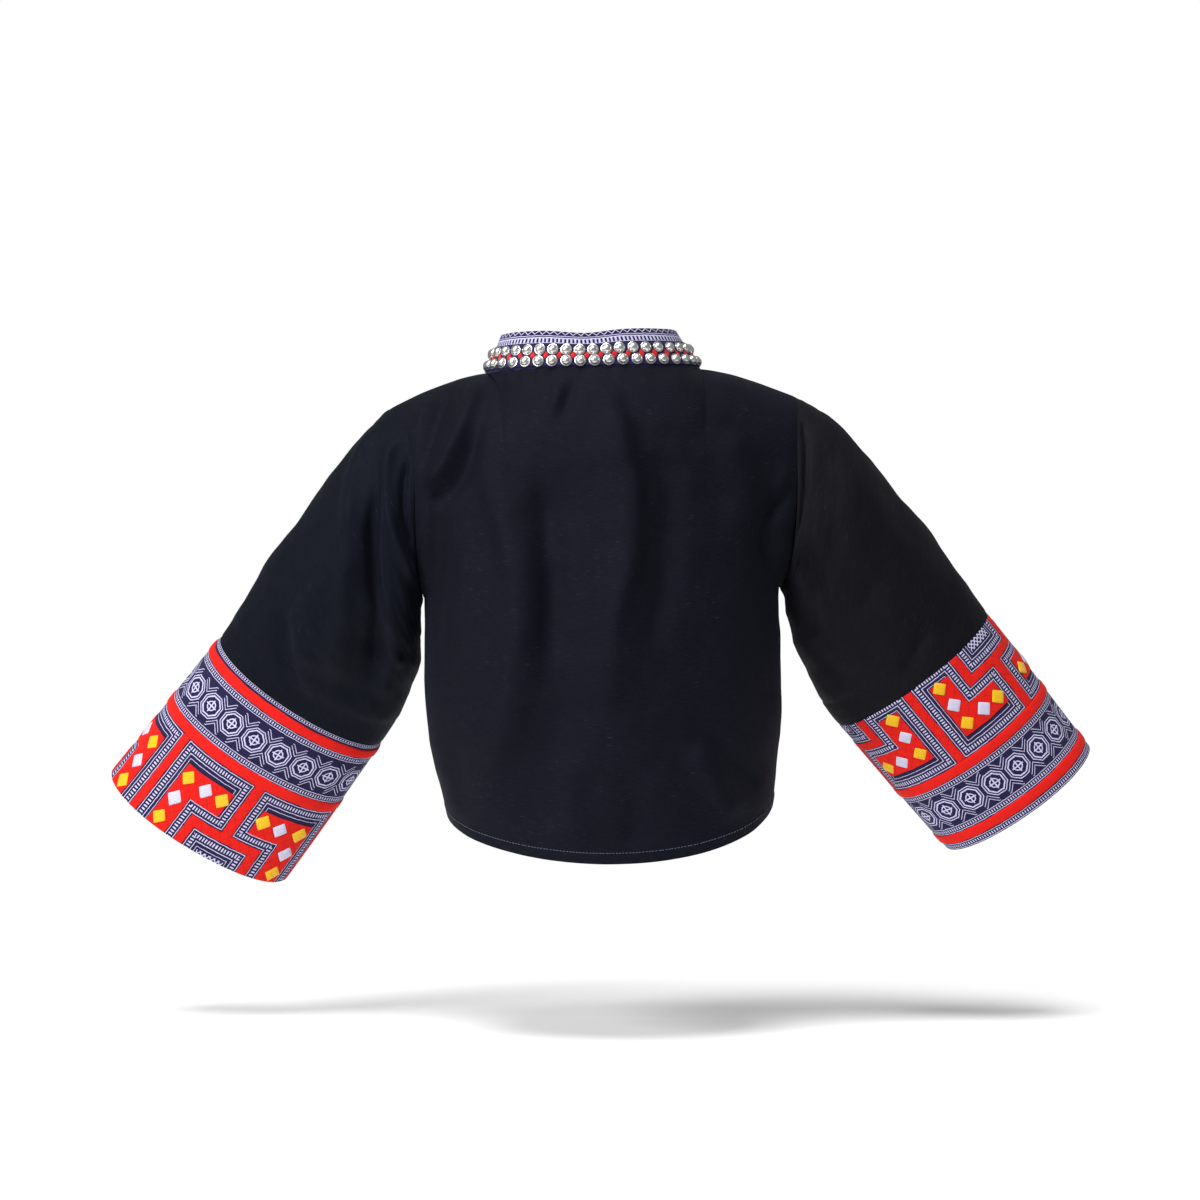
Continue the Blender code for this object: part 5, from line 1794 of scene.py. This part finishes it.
class JacketCollar(bpy.types.Operator):
    """Sew the batik collar with its tape, its red rhombs and two rows of silver domes"""

    bl_idname = "jacket.collar"
    bl_label = "Sew collar"

    def execute(self, context):
        trim = settings("jacket_trim")
        batik_cloth = collar_batik("collar_batik_cloth", trim)
        lining = plain("collar_lining", tuple(trim.indigo))
        ends = (COLLAR_FOOT, COLLAR_HEIGHT)
        collar_piece = collar_layer(
            "collar_cloth", ends, COLLAR_ROWS_COUNT, 0.0, COLLAR_CLOTH, batik_cloth, lining,
        )
        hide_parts("collar")
        tape_cloth = plain("tape_cotton", tuple(c * 1.3 for c in trim.indigo), 0.8, 0.15)
        tape_ends = [share * COLLAR_HEIGHT for share in TAPE_SHARES]
        tape = collar_layer(
            "tape_cloth", tape_ends, TAPE_ROWS_COUNT, TAPE_OFF, STRIP_CLOTH, tape_cloth, tape_cloth,
        )
        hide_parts("stud_tape")
        bright = silver("dome_silver", trim)
        domes = [set_domes(place, bright) for place in STUD_ROW_HEIGHTS]
        rhombs = sew_rhombs(satin("red_satin", tuple(trim.red)))
        return {"FINISHED"}


class JacketStage(bpy.types.Operator):
    """Set the floor, the lights and the camera"""

    bl_idname = "jacket.stage"
    bl_label = "Set stage"

    def execute(self, context):
        stage = settings("jacket_stage")
        lay_floor(stage)
        hang_lights(stage)
        set_sky(stage)
        place_camera(stage)
        context.scene.view_settings.view_transform = "Standard"
        return {"FINISHED"}


def lay_floor(stage):
    """A pale floor that fades out into the white round it."""
    mesh = bpy.data.meshes.new("floor")
    shape = bmesh.new()
    bmesh.ops.create_circle(shape, cap_ends=True, segments=96, radius=stage.floor_radius)
    shape.to_mesh(mesh)
    shape.free()
    floor = bpy.data.objects.new("floor", mesh)
    floor.location = (0.0, 0.0, -stage.floor_drop)
    bpy.context.scene.collection.objects.link(floor)
    paper = Cloth("floor_paper", roughness=0.95)
    paper.set("Base Color", (0.9, 0.9, 0.9, 1.0))
    paper.set("Specular IOR Level", 0.0)
    paper.set("Emission Color", (1.0, 1.0, 1.0, 1.0))
    paper.set("Emission Strength", stage.floor_glow)
    place = node(paper.tree, "ShaderNodeTexCoord", {}, output="Object")
    away = node(paper.tree, "ShaderNodeVectorMath", {"operation": "LENGTH"}, (place,), output="Value")
    paper.set("Alpha", ((stage.floor_radius * 0.98 - away) / (stage.floor_radius * 0.7)).clamped())
    mesh.materials.append(paper.material)


def aim(item, target):
    """Turn a light towards a point."""
    item.rotation_euler = (Vector(target) - item.location).to_track_quat("-Z", "Y").to_euler()


def hang_lights(stage):
    """Hang a soft sun overhead and a wide window at the upper left."""
    sun = bpy.data.objects.new("sun", bpy.data.lights.new("sun", "SUN"))
    sun.data.energy = stage.sun
    sun.data.angle = math.radians(24)
    sun.location = (0.15, 0.75, 1.5)
    aim(sun, (0.0, 0.0, 0.0))
    window = bpy.data.objects.new("window", bpy.data.lights.new("window", "AREA"))
    window.data.shape = "RECTANGLE"
    window.data.size = 1.0
    window.data.size_y = 1.4
    window.data.energy = stage.window
    window.location = (2.1, 2.1, 1.3)
    aim(window, (0.0, 0.0, -0.2))
    for light in (sun, window):
        bpy.context.scene.collection.objects.link(light)


def set_sky(stage):
    """Even light from all round, in front of plain white."""
    world = bpy.data.worlds.new("sky")
    world.use_nodes = True
    tree = world.node_tree
    background = tree.nodes["Background"]
    background.inputs["Color"].default_value = (1.0, 1.0, 1.0, 1.0)
    seen = node(tree, "ShaderNodeLightPath", {}, output="Is Camera Ray")
    strength = seen * (1 - stage.sky) + stage.sky
    tree.links.new(strength.socket, background.inputs["Strength"])
    bpy.context.scene.world = world


def place_camera(stage):
    """Stand a long camera square to the jacket's back."""
    camera = bpy.data.objects.new("camera", bpy.data.cameras.new("camera"))
    camera.data.lens = 100.0
    camera.data.sensor_width = 36.0
    camera.data.dof.use_dof = False
    camera.location = (stage.camera_side, stage.camera_away, stage.camera_rise)
    camera.rotation_euler = (math.pi / 2, 0.0, math.pi)
    bpy.context.scene.collection.objects.link(camera)
    bpy.context.scene.camera = camera


class JacketPanel(bpy.types.Panel):
    """Steps for making the jacket, in order"""

    bl_idname = "VIEW3D_PT_jacket"
    bl_label = "Embroidered Jacket"
    bl_space_type = "VIEW_3D"
    bl_region_type = "UI"
    bl_category = "Jacket"

    def draw(self, context):
        for step in STEPS:
            self.layout.operator(step.bl_idname)


STEPS = (JacketBody, JacketSleeves, JacketCuffs, JacketCollar, JacketStage)
GROUPS = {
    "jacket_cloth": JacketClothSettings,
    "jacket_trim": JacketTrimSettings,
    "jacket_stage": JacketStageSettings,
}


def register():
    """Add the settings, the steps and the panel."""
    for item in (*GROUPS.values(), *STEPS, JacketPanel):
        bpy.utils.register_class(item)
    for name, group in GROUPS.items():
        setattr(bpy.types.Scene, name, bpy.props.PointerProperty(type=group))


def unregister():
    """Take them away again."""
    for name in GROUPS:
        delattr(bpy.types.Scene, name)
    for item in (JacketPanel, *reversed(STEPS), *GROUPS.values()):
        bpy.utils.unregister_class(item)


def main():
    """Sew every piece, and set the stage."""
    register()
    bpy.ops.jacket.body()
    bpy.ops.jacket.sleeves()
    bpy.ops.jacket.cuffs()
    bpy.ops.jacket.collar()
    bpy.ops.jacket.stage()


if __name__ == "__main__":
    main()
